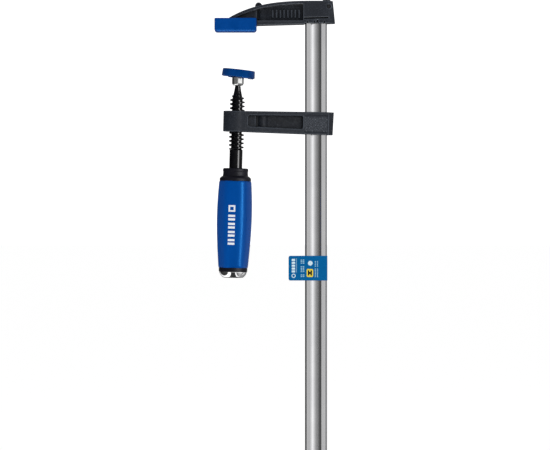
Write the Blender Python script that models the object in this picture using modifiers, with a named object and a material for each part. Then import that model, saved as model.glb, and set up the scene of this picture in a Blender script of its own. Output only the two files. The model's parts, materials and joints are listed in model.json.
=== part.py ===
"""F clamp for carpentry: a grooved steel bar, a cast fixed jaw with a soft cap, and a cast
sliding arm whose threaded spindle carries a swivel pad and a six-sided two-part handle.

Frame: metres, +Z up along the bar, with the origin at the centre of the bar's lower end.
The jaws reach towards -X, and Y is the clamp's thickness.
"""

from math import cos, pi, radians, sin, sqrt

import bmesh
import bpy
from mathutils import Matrix

MM = 0.001
GAP = 0.3 * MM                      # clearance kept between pieces that touch

# Bar: a flat bar with a hollow groove along both wide faces.
BAR_LENGTH = 341.1 * MM
BAR_WIDTH = 16.0 * MM
BAR_THICKNESS = 7.5 * MM
BAR_EDGE_RADIUS = 1.2 * MM
GROOVE_HALF_WIDTH = 3.8 * MM
GROOVE_DEPTH = 1.6 * MM

# Castings: both share one thickness and the same hub shape.
CASTING_HALF = 8.0 * MM             # half the thickness of hubs and flanges
WEB_HALF = 2.5 * MM                 # half the web left between two pockets
HUB_LEFT = -9.4 * MM                # where the hub's flat face starts
HUB_RIGHT = 9.5 * MM                # where the hub's back corners start to slope
BACK_FACE_HALF = 4.2 * MM           # half the width left between the sloped back corners

# Fixed jaw, measured from JAW_DATUM, the level of the small pip cast on its hub's top.
JAW_DATUM = 342.0 * MM
JAW_TOP = -0.85 * MM
JAW_BACK_TOP = 12.3 * MM
JAW_BACK_BOTTOM = 14.0 * MM
JAW_HUB_BOTTOM = -17.2 * MM
JAW_RIB = 2.3 * MM                  # thickness of the curved top rib
JAW_CROWN_START = 5.7 * MM          # where the top line starts to fall
JAW_CROWN_REACH = 65.5 * MM
JAW_CROWN_DROP = 10.3 * MM
JAW_CROWN_POWER = 3.25
JAW_TIP = -72.65 * MM
FOOT_INNER = -45.0 * MM
FOOT_TOP = -14.9 * MM
FOOT_BOTTOM = -21.95 * MM
FOOT_HALF = 9.0 * MM
JAW_POCKET_FLOOR = -14.7 * MM
JAW_POCKET_LEFT = -43.4 * MM
JAW_COLUMN_X = -37.9 * MM
KNOB_X = -42.0 * MM
KNOB_Z = -4.4 * MM
KNOB_RADIUS = 2.3 * MM

# Soft cap pushed over the fixed jaw's foot.
CAP_WALL = 1.3 * MM
CAP_TOP = -13.5 * MM

# Pins: solid, with a chamfer on each end.
PIN_RADIUS = 1.5 * MM
PIN_CHAMFER = 0.3 * MM
JAW_PIN_X = 9.3 * MM
JAW_PIN_Z = -5.0 * MM
JAW_PIN_HALF = 6.5 * MM
STOP_PIN_Z = 7.0 * MM
STOP_PIN_HALF = 6.2 * MM

# Sliding arm. It sits canted on the bar, as it does when it grips.
ARM_Z = 251.6 * MM
ARM_CANT = radians(1.5)
ARM_HALF_HEIGHT_TIP = 7.55 * MM
ARM_HALF_HEIGHT_HUB = 8.4 * MM
ARM_BACK = 12.9 * MM
ARM_SLOT_HALF = 8.6 * MM
SPINDLE_X = -57.9 * MM              # spindle axis from the bar's centre line
BOSS_RADIUS = 10.0 * MM
BOSS_BORE_RADIUS = 5.6 * MM
ARM_POCKET_LEFT = -49.7 * MM
ARM_COLUMN_X = -38.8 * MM
ARM_LAND_RIGHT = -44.0 * MM

# Spindle, measured up from the middle of the arm.
THREAD_RADIUS = 5.25 * MM
THREAD_ROOT_RADIUS = 3.85 * MM
THREAD_PITCH = 3.0 * MM
THREAD_TURNS = 12
THREAD_BOTTOM = -18.1 * MM
SHANK_RADIUS = 4.8 * MM
SHANK_TOP = -19.4 * MM
NECK_RADIUS = 2.0 * MM
BUTTON_RADIUS = 2.7 * MM
BUTTON_BOTTOM = 27.7 * MM
BUTTON_TOP = 28.8 * MM
TANG_RADIUS = 4.0 * MM
TANG_BOTTOM = -98.0 * MM

# Swivel ferrule and pad. The pad's ball stud sits in the ferrule.
FERRULE_RADIUS = 4.3 * MM
FERRULE_BOTTOM = 26.2 * MM
FERRULE_TOP = 33.4 * MM
BALL_Z = 31.9 * MM
BALL_RADIUS = 2.75 * MM
PAD_TILT = radians(4.9)
PAD_RADIUS = 12.0 * MM
PAD_BOTTOM = 0.6 * MM               # this and the next three are measured up from the ball
PLATE_BOTTOM = 2.6 * MM
PLATE_TOP = 3.8 * MM
PAD_TOP = 6.0 * MM
PLATE_RADIUS = 10.4 * MM

# Handle.
COLLAR_TOP = -34.3 * MM
COLLAR_RADIUS = 9.4 * MM
BAND_RADIUS = 11.5 * MM
GRIP_TOP = -43.6 * MM
GRIP_BOTTOM = -107.2 * MM
GRIP_END_RADII = (11.75 * MM, 10.8 * MM)
GRIP_BELLY_RADIUS = 12.75 * MM
CORE_RADIUS = 9.0 * MM
RING_RADIUS = 10.5 * MM
RING_BOTTOM = -109.7 * MM
END_CAP_BOTTOM = -114.5 * MM
HANDLE_WEB_TOP = -98.4 * MM
HANDLE_WEB_BOTTOM = -101.4 * MM
HANDLE_CHAMBER_RADIUS = 7.0 * MM
SCREW_RADIUS = 2.5 * MM

# Printed film tag wrapped round the bar.
TAG_BOTTOM = 136.7 * MM
TAG_TOP = 154.8 * MM
TAG_LEFT = -20.1 * MM
TAG_SHEET = 0.3 * MM
TAG_GAP = 0.25 * MM


def clear_scene():
    for old in list(bpy.data.objects):
        bpy.data.objects.remove(old, do_unlink=True)


def new_collection(name):
    collection = bpy.data.collections.new(name)
    bpy.context.scene.collection.children.link(collection)
    return collection


clear_scene()
CLAMP = new_collection("f_clamp")
CUTTERS = new_collection("cutters")


def make_material(name, colour, roughness, metallic):
    material = bpy.data.materials.new(name)
    material.use_nodes = True
    shader = material.node_tree.nodes["Principled BSDF"]
    shader.inputs["Base Color"].default_value = (*colour, 1.0)
    shader.inputs["Roughness"].default_value = roughness
    shader.inputs["Metallic"].default_value = metallic
    return material


BRIGHT_STEEL = make_material("bright_steel", (0.62, 0.62, 0.63), 0.25, 1.0)
PIN_STEEL = make_material("pin_steel", (0.18, 0.18, 0.19), 0.4, 1.0)
CAST_GREY = make_material("cast_grey", (0.035, 0.038, 0.045), 0.6, 0.0)
BLACK_STEEL = make_material("black_steel", (0.012, 0.012, 0.014), 0.22, 0.6)
ZINC = make_material("zinc", (0.75, 0.75, 0.74), 0.2, 1.0)
BLUE_CAP = make_material("blue_cap", (0.0, 0.075, 0.33), 0.45, 0.0)
BLUE_GRIP = make_material("blue_grip", (0.0, 0.085, 0.38), 0.35, 0.0)
BLACK_PLASTIC = make_material("black_plastic", (0.014, 0.014, 0.018), 0.4, 0.0)
CHROME = make_material("chrome", (0.85, 0.85, 0.85), 0.08, 1.0)
TAG_BLUE = make_material("tag_blue", (0.0, 0.12, 0.38), 0.4, 0.0)


def make_axis(name, parent=None, location=(0, 0, 0), tilt=0.0):
    """An empty that carries a group of pieces; tilt turns it about Y."""
    axis = bpy.data.objects.new(name, None)
    axis.empty_display_size = 0.02
    axis.location = location
    axis.rotation_euler = (0, tilt, 0)
    axis.parent = parent
    CLAMP.objects.link(axis)
    return axis


def add_object(name, mesh, parent, material=None):
    """Link a mesh as a piece of the clamp, or as a cutter when it has no material."""
    piece = bpy.data.objects.new(name, mesh)
    piece.parent = parent
    if material is None:
        CUTTERS.objects.link(piece)
        piece.hide_render = True
        piece.display_type = "WIRE"
    else:
        CLAMP.objects.link(piece)
        mesh.materials.clear()
        mesh.materials.append(material)
    return piece


def mesh_from(bm, name):
    mesh = bpy.data.meshes.new(name)
    bm.to_mesh(mesh)
    bm.free()
    return mesh


def flat_mesh(name, outlines, thickness):
    """A flat sheet in XY with the given outer outline and holes, centred on z = 0."""
    curve = bpy.data.curves.new(name, "CURVE")
    curve.dimensions = "2D"
    curve.fill_mode = "BOTH"
    curve.extrude = thickness / 2
    for outline in outlines:
        spline = curve.splines.new("POLY")
        spline.points.add(len(outline) - 1)
        for point, (x, y) in zip(spline.points, outline):
            point.co = (x, y, 0, 1)
        spline.use_cyclic_u = True
    holder = bpy.data.objects.new(name, curve)
    CUTTERS.objects.link(holder)
    depsgraph = bpy.context.evaluated_depsgraph_get()
    mesh = bpy.data.meshes.new_from_object(holder.evaluated_get(depsgraph))
    bpy.data.objects.remove(holder)
    bm = bmesh.new()
    bm.from_mesh(mesh)
    bmesh.ops.remove_doubles(bm, verts=bm.verts, dist=1e-6)
    bmesh.ops.recalc_face_normals(bm, faces=bm.faces)
    bm.to_mesh(mesh)
    bm.free()
    return mesh


def side_mesh(name, outlines, thickness, y=0.0):
    """A plate whose outline is drawn in XZ, centred on the given y."""
    mesh = flat_mesh(name, outlines, thickness)
    mesh.transform(Matrix.Translation((0, y, 0)) @ Matrix.Rotation(pi / 2, 4, "X"))
    return mesh


def upright_mesh(name, outlines, bottom, top):
    """A plate whose outline is drawn in XY, from the height bottom to the height top."""
    mesh = flat_mesh(name, outlines, top - bottom)
    mesh.transform(Matrix.Translation((0, 0, (bottom + top) / 2)))
    return mesh


def box_mesh(name, low, high):
    bm = bmesh.new()
    bmesh.ops.create_cube(bm, size=1.0)
    size = [b - a for a, b in zip(low, high)]
    centre = [(a + b) / 2 for a, b in zip(low, high)]
    bmesh.ops.scale(bm, vec=size, verts=bm.verts)
    bmesh.ops.translate(bm, vec=centre, verts=bm.verts)
    return mesh_from(bm, name)


def rod_mesh(name, radius, length, centre, along="Z", sides=24):
    bm = bmesh.new()
    bmesh.ops.create_cone(
        bm, cap_ends=True, segments=sides, radius1=radius, radius2=radius, depth=length
    )
    if along == "Y":
        bmesh.ops.rotate(bm, matrix=Matrix.Rotation(pi / 2, 3, "X"), verts=bm.verts)
    bmesh.ops.translate(bm, vec=centre, verts=bm.verts)
    return mesh_from(bm, name)


def turned_object(name, profile, parent, material, steps=32, closed=False):
    """A piece turned about Z from (radius, z) points that run down its outer side."""
    bm = bmesh.new()
    verts = [bm.verts.new((radius, 0, z)) for radius, z in profile]
    for first, second in zip(verts, verts[1:]):
        bm.edges.new((first, second))
    if closed:
        bm.edges.new((verts[-1], verts[0]))
    piece = add_object(name, mesh_from(bm, name), parent, material)
    screw = piece.modifiers.new("turn", "SCREW")
    screw.axis = "Z"
    screw.steps = steps
    screw.render_steps = steps
    screw.use_merge_vertices = True
    screw.merge_threshold = 0.000001
    screw.use_smooth_shade = True
    return piece


def combine(piece, other, operation):
    boolean = piece.modifiers.new(operation.lower(), "BOOLEAN")
    boolean.operation = operation
    boolean.object = other


def cut(piece, mesh):
    combine(piece, add_object(mesh.name + "_cutter", mesh, piece.parent), "DIFFERENCE")


def join(piece, mesh):
    combine(piece, add_object(mesh.name + "_joined", mesh, piece.parent), "UNION")


def round_edges(piece, width, segments=2, angle=35.0):
    bevel = piece.modifiers.new("rounded_edges", "BEVEL")
    bevel.width = width
    bevel.segments = segments
    bevel.limit_method = "ANGLE"
    bevel.angle_limit = radians(angle)
    bevel.use_clamp_overlap = True


def smooth(piece, angle=35.0):
    piece.data.shade_smooth()
    piece.data.set_sharp_from_angle(angle=radians(angle))


def arc(cx, cy, radius, start, end, steps):
    """Points of an arc from start to end, in degrees."""
    angles = [radians(start + (end - start) * i / steps) for i in range(steps + 1)]
    return [(cx + radius * cos(a), cy + radius * sin(a)) for a in angles]


def rounded_box(x0, y0, x1, y1, radius, steps=4):
    """A rectangle with round corners, counter-clockwise."""
    return (
        arc(x1 - radius, y0 + radius, radius, -90, 0, steps)
        + arc(x1 - radius, y1 - radius, radius, 0, 90, steps)
        + arc(x0 + radius, y1 - radius, radius, 90, 180, steps)
        + arc(x0 + radius, y0 + radius, radius, 180, 270, steps)
    )


# ---------------------------------------------------------------- bar and its pins

def bar_section():
    """The bar's section in XY: a rectangle with round edges and a groove in each wide face."""
    half_x = BAR_WIDTH / 2
    half_y = BAR_THICKNESS / 2
    edge = BAR_EDGE_RADIUS
    radius = (GROOVE_HALF_WIDTH ** 2 + GROOVE_DEPTH ** 2) / (2 * GROOVE_DEPTH)
    steps = 8
    groove = []
    for i in range(steps + 1):
        x = GROOVE_HALF_WIDTH * (2 * i / steps - 1)
        sag = sqrt(radius ** 2 - x ** 2) - (radius - GROOVE_DEPTH)
        groove.append((x, -half_y + sag))
    right = arc(half_x - edge, -half_y + edge, edge, -90, 0, 4)
    right += arc(half_x - edge, half_y - edge, edge, 0, 90, 4)
    lower = groove + right
    return lower + [(-x, -y) for x, y in lower]


def make_bar(parent):
    mesh = upright_mesh("guide_bar", [bar_section()], 0.0, BAR_LENGTH)
    bar = add_object("guide_bar", mesh, parent, BRIGHT_STEEL)
    notch_at = (JAW_PIN_X, 0, JAW_DATUM + JAW_PIN_Z)
    cut(bar, rod_mesh("jaw_pin_notch", PIN_RADIUS + GAP, 30 * MM, notch_at, "Y"))
    hole_at = (0, 0, STOP_PIN_Z)
    cut(bar, rod_mesh("stop_pin_hole", PIN_RADIUS + GAP, 30 * MM, hole_at, "Y"))
    smooth(bar)


def make_pin(name, parent, centre, half_length):
    """A solid pin along Y with chamfered ends."""
    mesh = rod_mesh(name, PIN_RADIUS, 2 * half_length, centre, "Y", sides=28)
    pin = add_object(name, mesh, parent, PIN_STEEL)
    round_edges(pin, PIN_CHAMFER, segments=1, angle=60.0)
    smooth(pin)


# ---------------------------------------------------------------- fixed jaw

def crown(x, below=0.0):
    """Height of the fixed jaw's curved top line at x, lowered by the given amount."""
    reach = max(0.0, JAW_CROWN_START - x) / JAW_CROWN_REACH
    return JAW_TOP - JAW_CROWN_DROP * reach ** JAW_CROWN_POWER - below


def crown_points(x_start, x_end, below=0.0, steps=10):
    xs = [x_start + (x_end - x_start) * i / steps for i in range(steps + 1)]
    return [(x, crown(x, below)) for x in xs]


def lift(points, height=JAW_DATUM):
    """Move points measured from the jaw's datum to the clamp's frame."""
    return [(x, z + height) for x, z in points]


def jaw_outline():
    crown_end = -63.5 * MM
    return lift(
        [
            (FOOT_INNER, FOOT_BOTTOM + 2.5 * MM),
            (-43.1 * MM, -18.9 * MM),
            (-8.6 * MM, -17.9 * MM),
            (-7.9 * MM, JAW_HUB_BOTTOM),
            (JAW_BACK_BOTTOM, JAW_HUB_BOTTOM - 0.35 * MM),
            (JAW_BACK_TOP, JAW_TOP - 0.2 * MM),
        ]
        + crown_points(JAW_CROWN_START, crown_end, steps=16)
        + [(crown_end, FOOT_TOP - 2.0 * MM)]
    )


def back_corner(side):
    """Outline in XY of the wedge cut off one back corner of a hub."""
    reach = 30 * MM
    slope = CASTING_HALF - BACK_FACE_HALF
    return [
        (HUB_RIGHT, side * CASTING_HALF),
        (HUB_RIGHT + slope + reach, side * (BACK_FACE_HALF - reach)),
        (HUB_RIGHT + slope + reach, side * (CASTING_HALF + reach)),
        (HUB_RIGHT, side * (CASTING_HALF + reach)),
    ]


def cut_back_corners(casting, bottom, top):
    for side, label in ((-1, "front"), (1, "rear")):
        outline = back_corner(side)
        name = casting.name + "_" + label + "_corner"
        cut(casting, upright_mesh(name, [outline], bottom, top))


def cut_both_sides(casting, name, outline, floor_half):
    """Sink the same outline into both faces, down to floor_half from the middle."""
    depth = 20 * MM
    for side, label in ((-1, "front"), (1, "rear")):
        y = side * (floor_half + depth / 2)
        cut(casting, side_mesh(name + "_" + label, [outline], depth, y))


def make_fixed_jaw(parent):
    mesh = side_mesh("fixed_jaw", [jaw_outline()], 2 * CASTING_HALF)
    jaw = add_object("fixed_jaw", mesh, parent, CAST_GREY)

    pocket = crown_points(HUB_LEFT, JAW_POCKET_LEFT, below=JAW_RIB, steps=8)
    pocket += [(JAW_POCKET_LEFT, JAW_POCKET_FLOOR), (HUB_LEFT, JAW_POCKET_FLOOR)]
    cut_both_sides(jaw, "jaw_pocket", lift(pocket), WEB_HALF)

    tip_end = -60.8 * MM
    recess_rib = JAW_RIB + 0.2 * MM
    recess = crown_points(JAW_POCKET_LEFT + 0.5 * MM, tip_end, below=recess_rib, steps=6)
    recess += [(tip_end, FOOT_TOP), (JAW_POCKET_LEFT + 0.5 * MM, FOOT_TOP)]
    cut_both_sides(jaw, "jaw_tip_recess", lift(recess), 5.6 * MM)

    column_bottom = JAW_DATUM + JAW_POCKET_FLOOR - 1.0 * MM
    column_top = JAW_DATUM + crown(JAW_COLUMN_X, JAW_RIB) + 1.0 * MM
    column_at = (JAW_COLUMN_X, 0, (column_bottom + column_top) / 2)
    join(jaw, rod_mesh("jaw_column", 4.2 * MM, column_top - column_bottom, column_at))

    knob_at = (KNOB_X, 0, JAW_DATUM + KNOB_Z)
    join(jaw, rod_mesh("jaw_knob", KNOB_RADIUS, 2 * 5.0 * MM, knob_at, "Y"))

    foot_low = (JAW_TIP, -FOOT_HALF, JAW_DATUM + FOOT_BOTTOM)
    foot_high = (FOOT_INNER, FOOT_HALF, JAW_DATUM + FOOT_TOP)
    join(jaw, box_mesh("jaw_foot", foot_low, foot_high))
    pip_low = (5.0 * MM, -6.6 * MM, JAW_DATUM - 2.0 * MM)
    pip_high = (10.4 * MM, 6.6 * MM, JAW_DATUM)
    join(jaw, box_mesh("jaw_pip", pip_low, pip_high))

    cut_back_corners(jaw, JAW_DATUM - 30 * MM, JAW_DATUM + 10 * MM)
    slot_x = BAR_WIDTH / 2 + GAP
    slot_y = BAR_THICKNESS / 2 + GAP
    slot_low = (-slot_x, -slot_y, JAW_DATUM - 30 * MM)
    slot_high = (slot_x, slot_y, JAW_DATUM + 10 * MM)
    cut(jaw, box_mesh("jaw_bar_slot", slot_low, slot_high))
    pin_at = (JAW_PIN_X, 0, JAW_DATUM + JAW_PIN_Z)
    cut(jaw, rod_mesh("jaw_pin_hole", PIN_RADIUS + GAP, 40 * MM, pin_at, "Y"))
    smooth(jaw)


def make_fixed_jaw_cap(parent):
    """An open-topped shoe that grips the fixed jaw's foot."""
    inner_x0 = JAW_TIP - GAP
    inner_x1 = FOOT_INNER + GAP
    inner_y = FOOT_HALF + GAP
    outer = rounded_box(
        inner_x0 - CAP_WALL,
        -inner_y - CAP_WALL,
        inner_x1 + CAP_WALL,
        inner_y + CAP_WALL,
        2.0 * MM,
    )
    bottom = JAW_DATUM + FOOT_BOTTOM - GAP - CAP_WALL
    top = JAW_DATUM + CAP_TOP
    mesh = upright_mesh("fixed_jaw_cap", [outer], bottom, top)
    cap = add_object("fixed_jaw_cap", mesh, parent, BLUE_CAP)
    round_edges(cap, 1.0 * MM, angle=60.0)
    low = (inner_x0, -inner_y, JAW_DATUM + FOOT_BOTTOM - GAP)
    high = (inner_x1, inner_y, top + 5 * MM)
    cut(cap, box_mesh("cap_hollow", low, high))
    neck_low = (FOOT_INNER - 5 * MM, -CASTING_HALF - GAP, JAW_DATUM + FOOT_BOTTOM + 1.6 * MM)
    neck_high = (FOOT_INNER + 5 * MM, CASTING_HALF + GAP, top + 5 * MM)
    cut(cap, box_mesh("cap_neck_opening", neck_low, neck_high))
    smooth(cap)


# ---------------------------------------------------------------- sliding arm

def make_sliding_arm(parent):
    outline = [
        (SPINDLE_X, -ARM_HALF_HEIGHT_TIP),
        (ARM_BACK - 0.3 * MM, -ARM_HALF_HEIGHT_HUB),
        (ARM_BACK, ARM_HALF_HEIGHT_HUB),
        (SPINDLE_X, ARM_HALF_HEIGHT_TIP),
    ]
    mesh = side_mesh("sliding_arm", [outline], 2 * CASTING_HALF)
    arm = add_object("sliding_arm", mesh, parent, CAST_GREY)

    boss_at = (SPINDLE_X, 0, 0)
    boss_height = 2 * ARM_HALF_HEIGHT_TIP
    join(arm, rod_mesh("spindle_boss", BOSS_RADIUS, boss_height, boss_at, sides=48))

    corner = 1.6 * MM
    pocket = (
        arc(HUB_LEFT - corner, -4.5 * MM + corner, corner, -90, 0, 3)
        + arc(HUB_LEFT - corner, 5.2 * MM - corner, corner, 0, 90, 3)
        + arc(ARM_POCKET_LEFT + corner, 4.6 * MM - corner, corner, 90, 180, 3)
        + arc(ARM_POCKET_LEFT + corner, -3.6 * MM + corner, corner, 180, 270, 3)
    )
    cut_both_sides(arm, "arm_pocket", pocket, WEB_HALF)
    column_height = 2 * 6.0 * MM
    column_at = (ARM_COLUMN_X, 0, 0)
    join(arm, rod_mesh("arm_column", 4.2 * MM, column_height, column_at))
    land_low = (ARM_POCKET_LEFT - 1.5 * MM, -5.4 * MM, -5.0 * MM)
    land_high = (ARM_LAND_RIGHT, 5.4 * MM, 5.8 * MM)
    join(arm, box_mesh("arm_land", land_low, land_high))

    cut_back_corners(arm, -20 * MM, 20 * MM)
    slot_y = BAR_THICKNESS / 2 + GAP
    slot_low = (-ARM_SLOT_HALF, -slot_y, -20 * MM)
    slot_high = (ARM_SLOT_HALF, slot_y, 20 * MM)
    cut(arm, box_mesh("arm_bar_slot", slot_low, slot_high))
    cut(arm, rod_mesh("spindle_bore", BOSS_BORE_RADIUS, 40 * MM, boss_at, sides=32))
    smooth(arm)


# ---------------------------------------------------------------- spindle and swivel

def thread_ridge():
    """One helical ridge, wound upwards, whose base is sunk into the spindle's core."""
    base_half = 1.15 * MM
    crest_half = 0.5 * MM
    base_radius = THREAD_ROOT_RADIUS - 0.4 * MM
    profile = [
        (THREAD_RADIUS, crest_half),
        (THREAD_RADIUS, -crest_half),
        (base_radius, -base_half),
        (base_radius, base_half),
    ]
    bm = bmesh.new()
    verts = [bm.verts.new((r, 0, THREAD_BOTTOM + z)) for r, z in profile]
    for first, second in zip(verts, verts[1:] + verts[:1]):
        bm.edges.new((first, second))
    ridge = add_object("thread_ridge_path", mesh_from(bm, "thread_ridge_path"), None)
    screw = ridge.modifiers.new("wind", "SCREW")
    screw.axis = "Z"
    screw.steps = 20
    screw.render_steps = 20
    screw.screw_offset = THREAD_PITCH
    screw.iterations = THREAD_TURNS
    screw.use_merge_vertices = True
    screw.merge_threshold = 0.000001
    depsgraph = bpy.context.evaluated_depsgraph_get()
    mesh = bpy.data.meshes.new_from_object(ridge.evaluated_get(depsgraph))
    mesh.name = "thread_ridge"
    bpy.data.objects.remove(ridge)
    bm = bmesh.new()
    bm.from_mesh(mesh)
    bmesh.ops.holes_fill(bm, edges=[edge for edge in bm.edges if edge.is_boundary])
    bmesh.ops.recalc_face_normals(bm, faces=bm.faces)
    bm.to_mesh(mesh)
    bm.free()
    return mesh


def make_spindle(parent):
    profile = [
        (0, BUTTON_TOP),
        (BUTTON_RADIUS, BUTTON_TOP),
        (BUTTON_RADIUS, BUTTON_BOTTOM),
        (NECK_RADIUS, BUTTON_BOTTOM),
        (NECK_RADIUS, FERRULE_BOTTOM - 0.2 * MM),
        (2.4 * MM, 23.1 * MM),
        (3.1 * MM, 20.0 * MM),
        (THREAD_ROOT_RADIUS, 16.6 * MM),
        (THREAD_ROOT_RADIUS, SHANK_TOP + 0.8 * MM),
        (SHANK_RADIUS, SHANK_TOP),
        (SHANK_RADIUS, COLLAR_TOP + GAP),
        (TANG_RADIUS, COLLAR_TOP + GAP),
        (TANG_RADIUS, TANG_BOTTOM),
        (SCREW_RADIUS + GAP, TANG_BOTTOM),
        (SCREW_RADIUS + GAP, TANG_BOTTOM + 13 * MM),
        (0, TANG_BOTTOM + 13 * MM),
    ]
    spindle = turned_object("spindle", profile, parent, BLACK_STEEL, steps=24)
    join(spindle, thread_ridge())
    smooth(spindle)


def make_swivel_ferrule(parent):
    seat = BALL_RADIUS + GAP
    lip = [
        (seat * sin(radians(a)), BALL_Z + seat * cos(radians(a)))
        for a in (90, 80, 70, 61)
    ]
    profile = [
        (FERRULE_RADIUS - 0.5 * MM, FERRULE_TOP),
        (FERRULE_RADIUS, FERRULE_TOP - 0.5 * MM),
        (FERRULE_RADIUS, FERRULE_BOTTOM + 1.0 * MM),
        (FERRULE_RADIUS - 0.3 * MM, FERRULE_BOTTOM + 0.3 * MM),
        (FERRULE_RADIUS - 1.0 * MM, FERRULE_BOTTOM),
        (NECK_RADIUS + GAP, FERRULE_BOTTOM),
        (NECK_RADIUS + GAP, BUTTON_BOTTOM - GAP),
        (seat, BUTTON_BOTTOM - GAP),
    ]
    profile += lip
    profile.append((lip[-1][0], FERRULE_TOP))
    ferrule = turned_object(
        "swivel_ferrule", profile, parent, ZINC, steps=24, closed=True
    )
    smooth(ferrule)


def make_pad_ball_stud(parent):
    ball = [
        (BALL_RADIUS * sin(radians(a)), BALL_RADIUS * cos(radians(a)))
        for a in range(35, 181, 15)
    ]
    ball[-1] = (0, -BALL_RADIUS)
    stem = 1.5 * MM
    head_bottom = PLATE_TOP + GAP
    profile = [
        (0, head_bottom + 0.6 * MM),
        (3.0 * MM, head_bottom + 0.6 * MM),
        (3.0 * MM, head_bottom),
        (stem, head_bottom),
        (stem, PLATE_BOTTOM - GAP),
        (2.0 * MM, PLATE_BOTTOM - GAP),
        (2.0 * MM, PLATE_BOTTOM - GAP - 0.25 * MM),
    ]
    stud = turned_object("pad_ball_stud", profile + ball, parent, ZINC, steps=24)
    smooth(stud)


def make_pad_plate(parent):
    profile = [
        (PLATE_RADIUS, PLATE_TOP),
        (PLATE_RADIUS, PLATE_BOTTOM),
        (1.8 * MM, PLATE_BOTTOM),
        (1.8 * MM, PLATE_TOP),
    ]
    plate = turned_object(
        "pad_plate", profile, parent, BRIGHT_STEEL, steps=40, closed=True
    )
    smooth(plate)


def make_pad_cap(parent):
    """A soft cup over the pad plate, with an inward lip that snaps under the plate."""
    hollow = PLATE_RADIUS + GAP
    lip = 8.9 * MM
    profile = [
        (0, PAD_TOP),
        (PAD_RADIUS - 0.8 * MM, PAD_TOP),
        (PAD_RADIUS - 0.2 * MM, PAD_TOP - 0.3 * MM),
        (PAD_RADIUS, PAD_TOP - 0.9 * MM),
        (PAD_RADIUS, PAD_BOTTOM + 0.4 * MM),
        (PAD_RADIUS - 0.4 * MM, PAD_BOTTOM),
        (lip, PAD_BOTTOM),
        (lip, PLATE_BOTTOM - GAP),
        (hollow, PLATE_BOTTOM - GAP),
        (hollow, PLATE_TOP + GAP),
        (3.4 * MM, PLATE_TOP + GAP),
        (3.4 * MM, PLATE_TOP + 4 * GAP),
        (0, PLATE_TOP + 4 * GAP),
    ]
    cap = turned_object("pad_cap", profile, parent, BLUE_CAP, steps=48)
    smooth(cap)


# ---------------------------------------------------------------- handle

def make_handle_core(parent):
    """Black inner handle: collar and band in front, sleeve under the grip, ring behind."""
    profile = [
        (COLLAR_RADIUS - 1.2 * MM, COLLAR_TOP),
        (COLLAR_RADIUS - 0.3 * MM, COLLAR_TOP - 0.4 * MM),
        (COLLAR_RADIUS, COLLAR_TOP - 1.2 * MM),
        (COLLAR_RADIUS - 0.25 * MM, COLLAR_TOP - 5.4 * MM),
        (BAND_RADIUS - 0.5 * MM, COLLAR_TOP - 6.4 * MM),
        (BAND_RADIUS, GRIP_TOP + GAP),
        (CORE_RADIUS, GRIP_TOP + GAP),
        (CORE_RADIUS, GRIP_BOTTOM - GAP),
        (RING_RADIUS, GRIP_BOTTOM - GAP),
        (RING_RADIUS - 0.1 * MM, RING_BOTTOM),
        (HANDLE_CHAMBER_RADIUS, RING_BOTTOM),
        (HANDLE_CHAMBER_RADIUS, HANDLE_WEB_BOTTOM),
        (SCREW_RADIUS + GAP, HANDLE_WEB_BOTTOM),
        (SCREW_RADIUS + GAP, HANDLE_WEB_TOP),
        (TANG_RADIUS + GAP, HANDLE_WEB_TOP),
        (TANG_RADIUS + GAP, COLLAR_TOP),
    ]
    core = turned_object(
        "handle_core", profile, parent, BLACK_PLASTIC, steps=40, closed=True
    )
    smooth(core)


def six_sided(angle):
    """Radius of a soft hexagon at this angle, 1.0 at its corners and flat across Y."""
    power = 8
    flats = [radians(30 + 60 * i) for i in range(3)]
    at = sum(abs(cos(angle - flat)) ** power for flat in flats)
    corner = 2 * cos(radians(30)) ** power
    return (at / corner) ** (-1 / power)


def make_handle_grip(parent):
    """Blue grip: a barrel with a soft six-sided section over the handle core."""
    rings = 12
    around = 48
    bore = CORE_RADIUS + GAP
    top_radius, bottom_radius = GRIP_END_RADII
    bm = bmesh.new()
    loops = []
    for ring in range(rings + 1):
        t = ring / rings
        z = GRIP_TOP + (GRIP_BOTTOM - GRIP_TOP) * t
        straight = top_radius + (bottom_radius - top_radius) * t
        middle = (top_radius + bottom_radius) / 2
        radius = straight + (GRIP_BELLY_RADIUS - middle) * sin(pi * t ** 0.9)
        loops.append((radius, z, True))
    loops.append((bore, GRIP_BOTTOM, False))
    loops.append((bore, GRIP_TOP, False))
    circles = []
    for radius, z, is_outer in loops:
        circle = []
        for i in range(around):
            angle = 2 * pi * i / around
            reach = radius * six_sided(angle) if is_outer else radius
            circle.append(bm.verts.new((reach * cos(angle), reach * sin(angle), z)))
        circles.append(circle)
    for upper, lower in zip(circles, circles[1:] + circles[:1]):
        for i in range(around):
            j = (i + 1) % around
            bm.faces.new((upper[j], upper[i], lower[i], lower[j]))
    bmesh.ops.recalc_face_normals(bm, faces=bm.faces)
    grip = add_object("handle_grip", mesh_from(bm, "handle_grip"), parent, BLUE_GRIP)
    smooth(grip)


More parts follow.
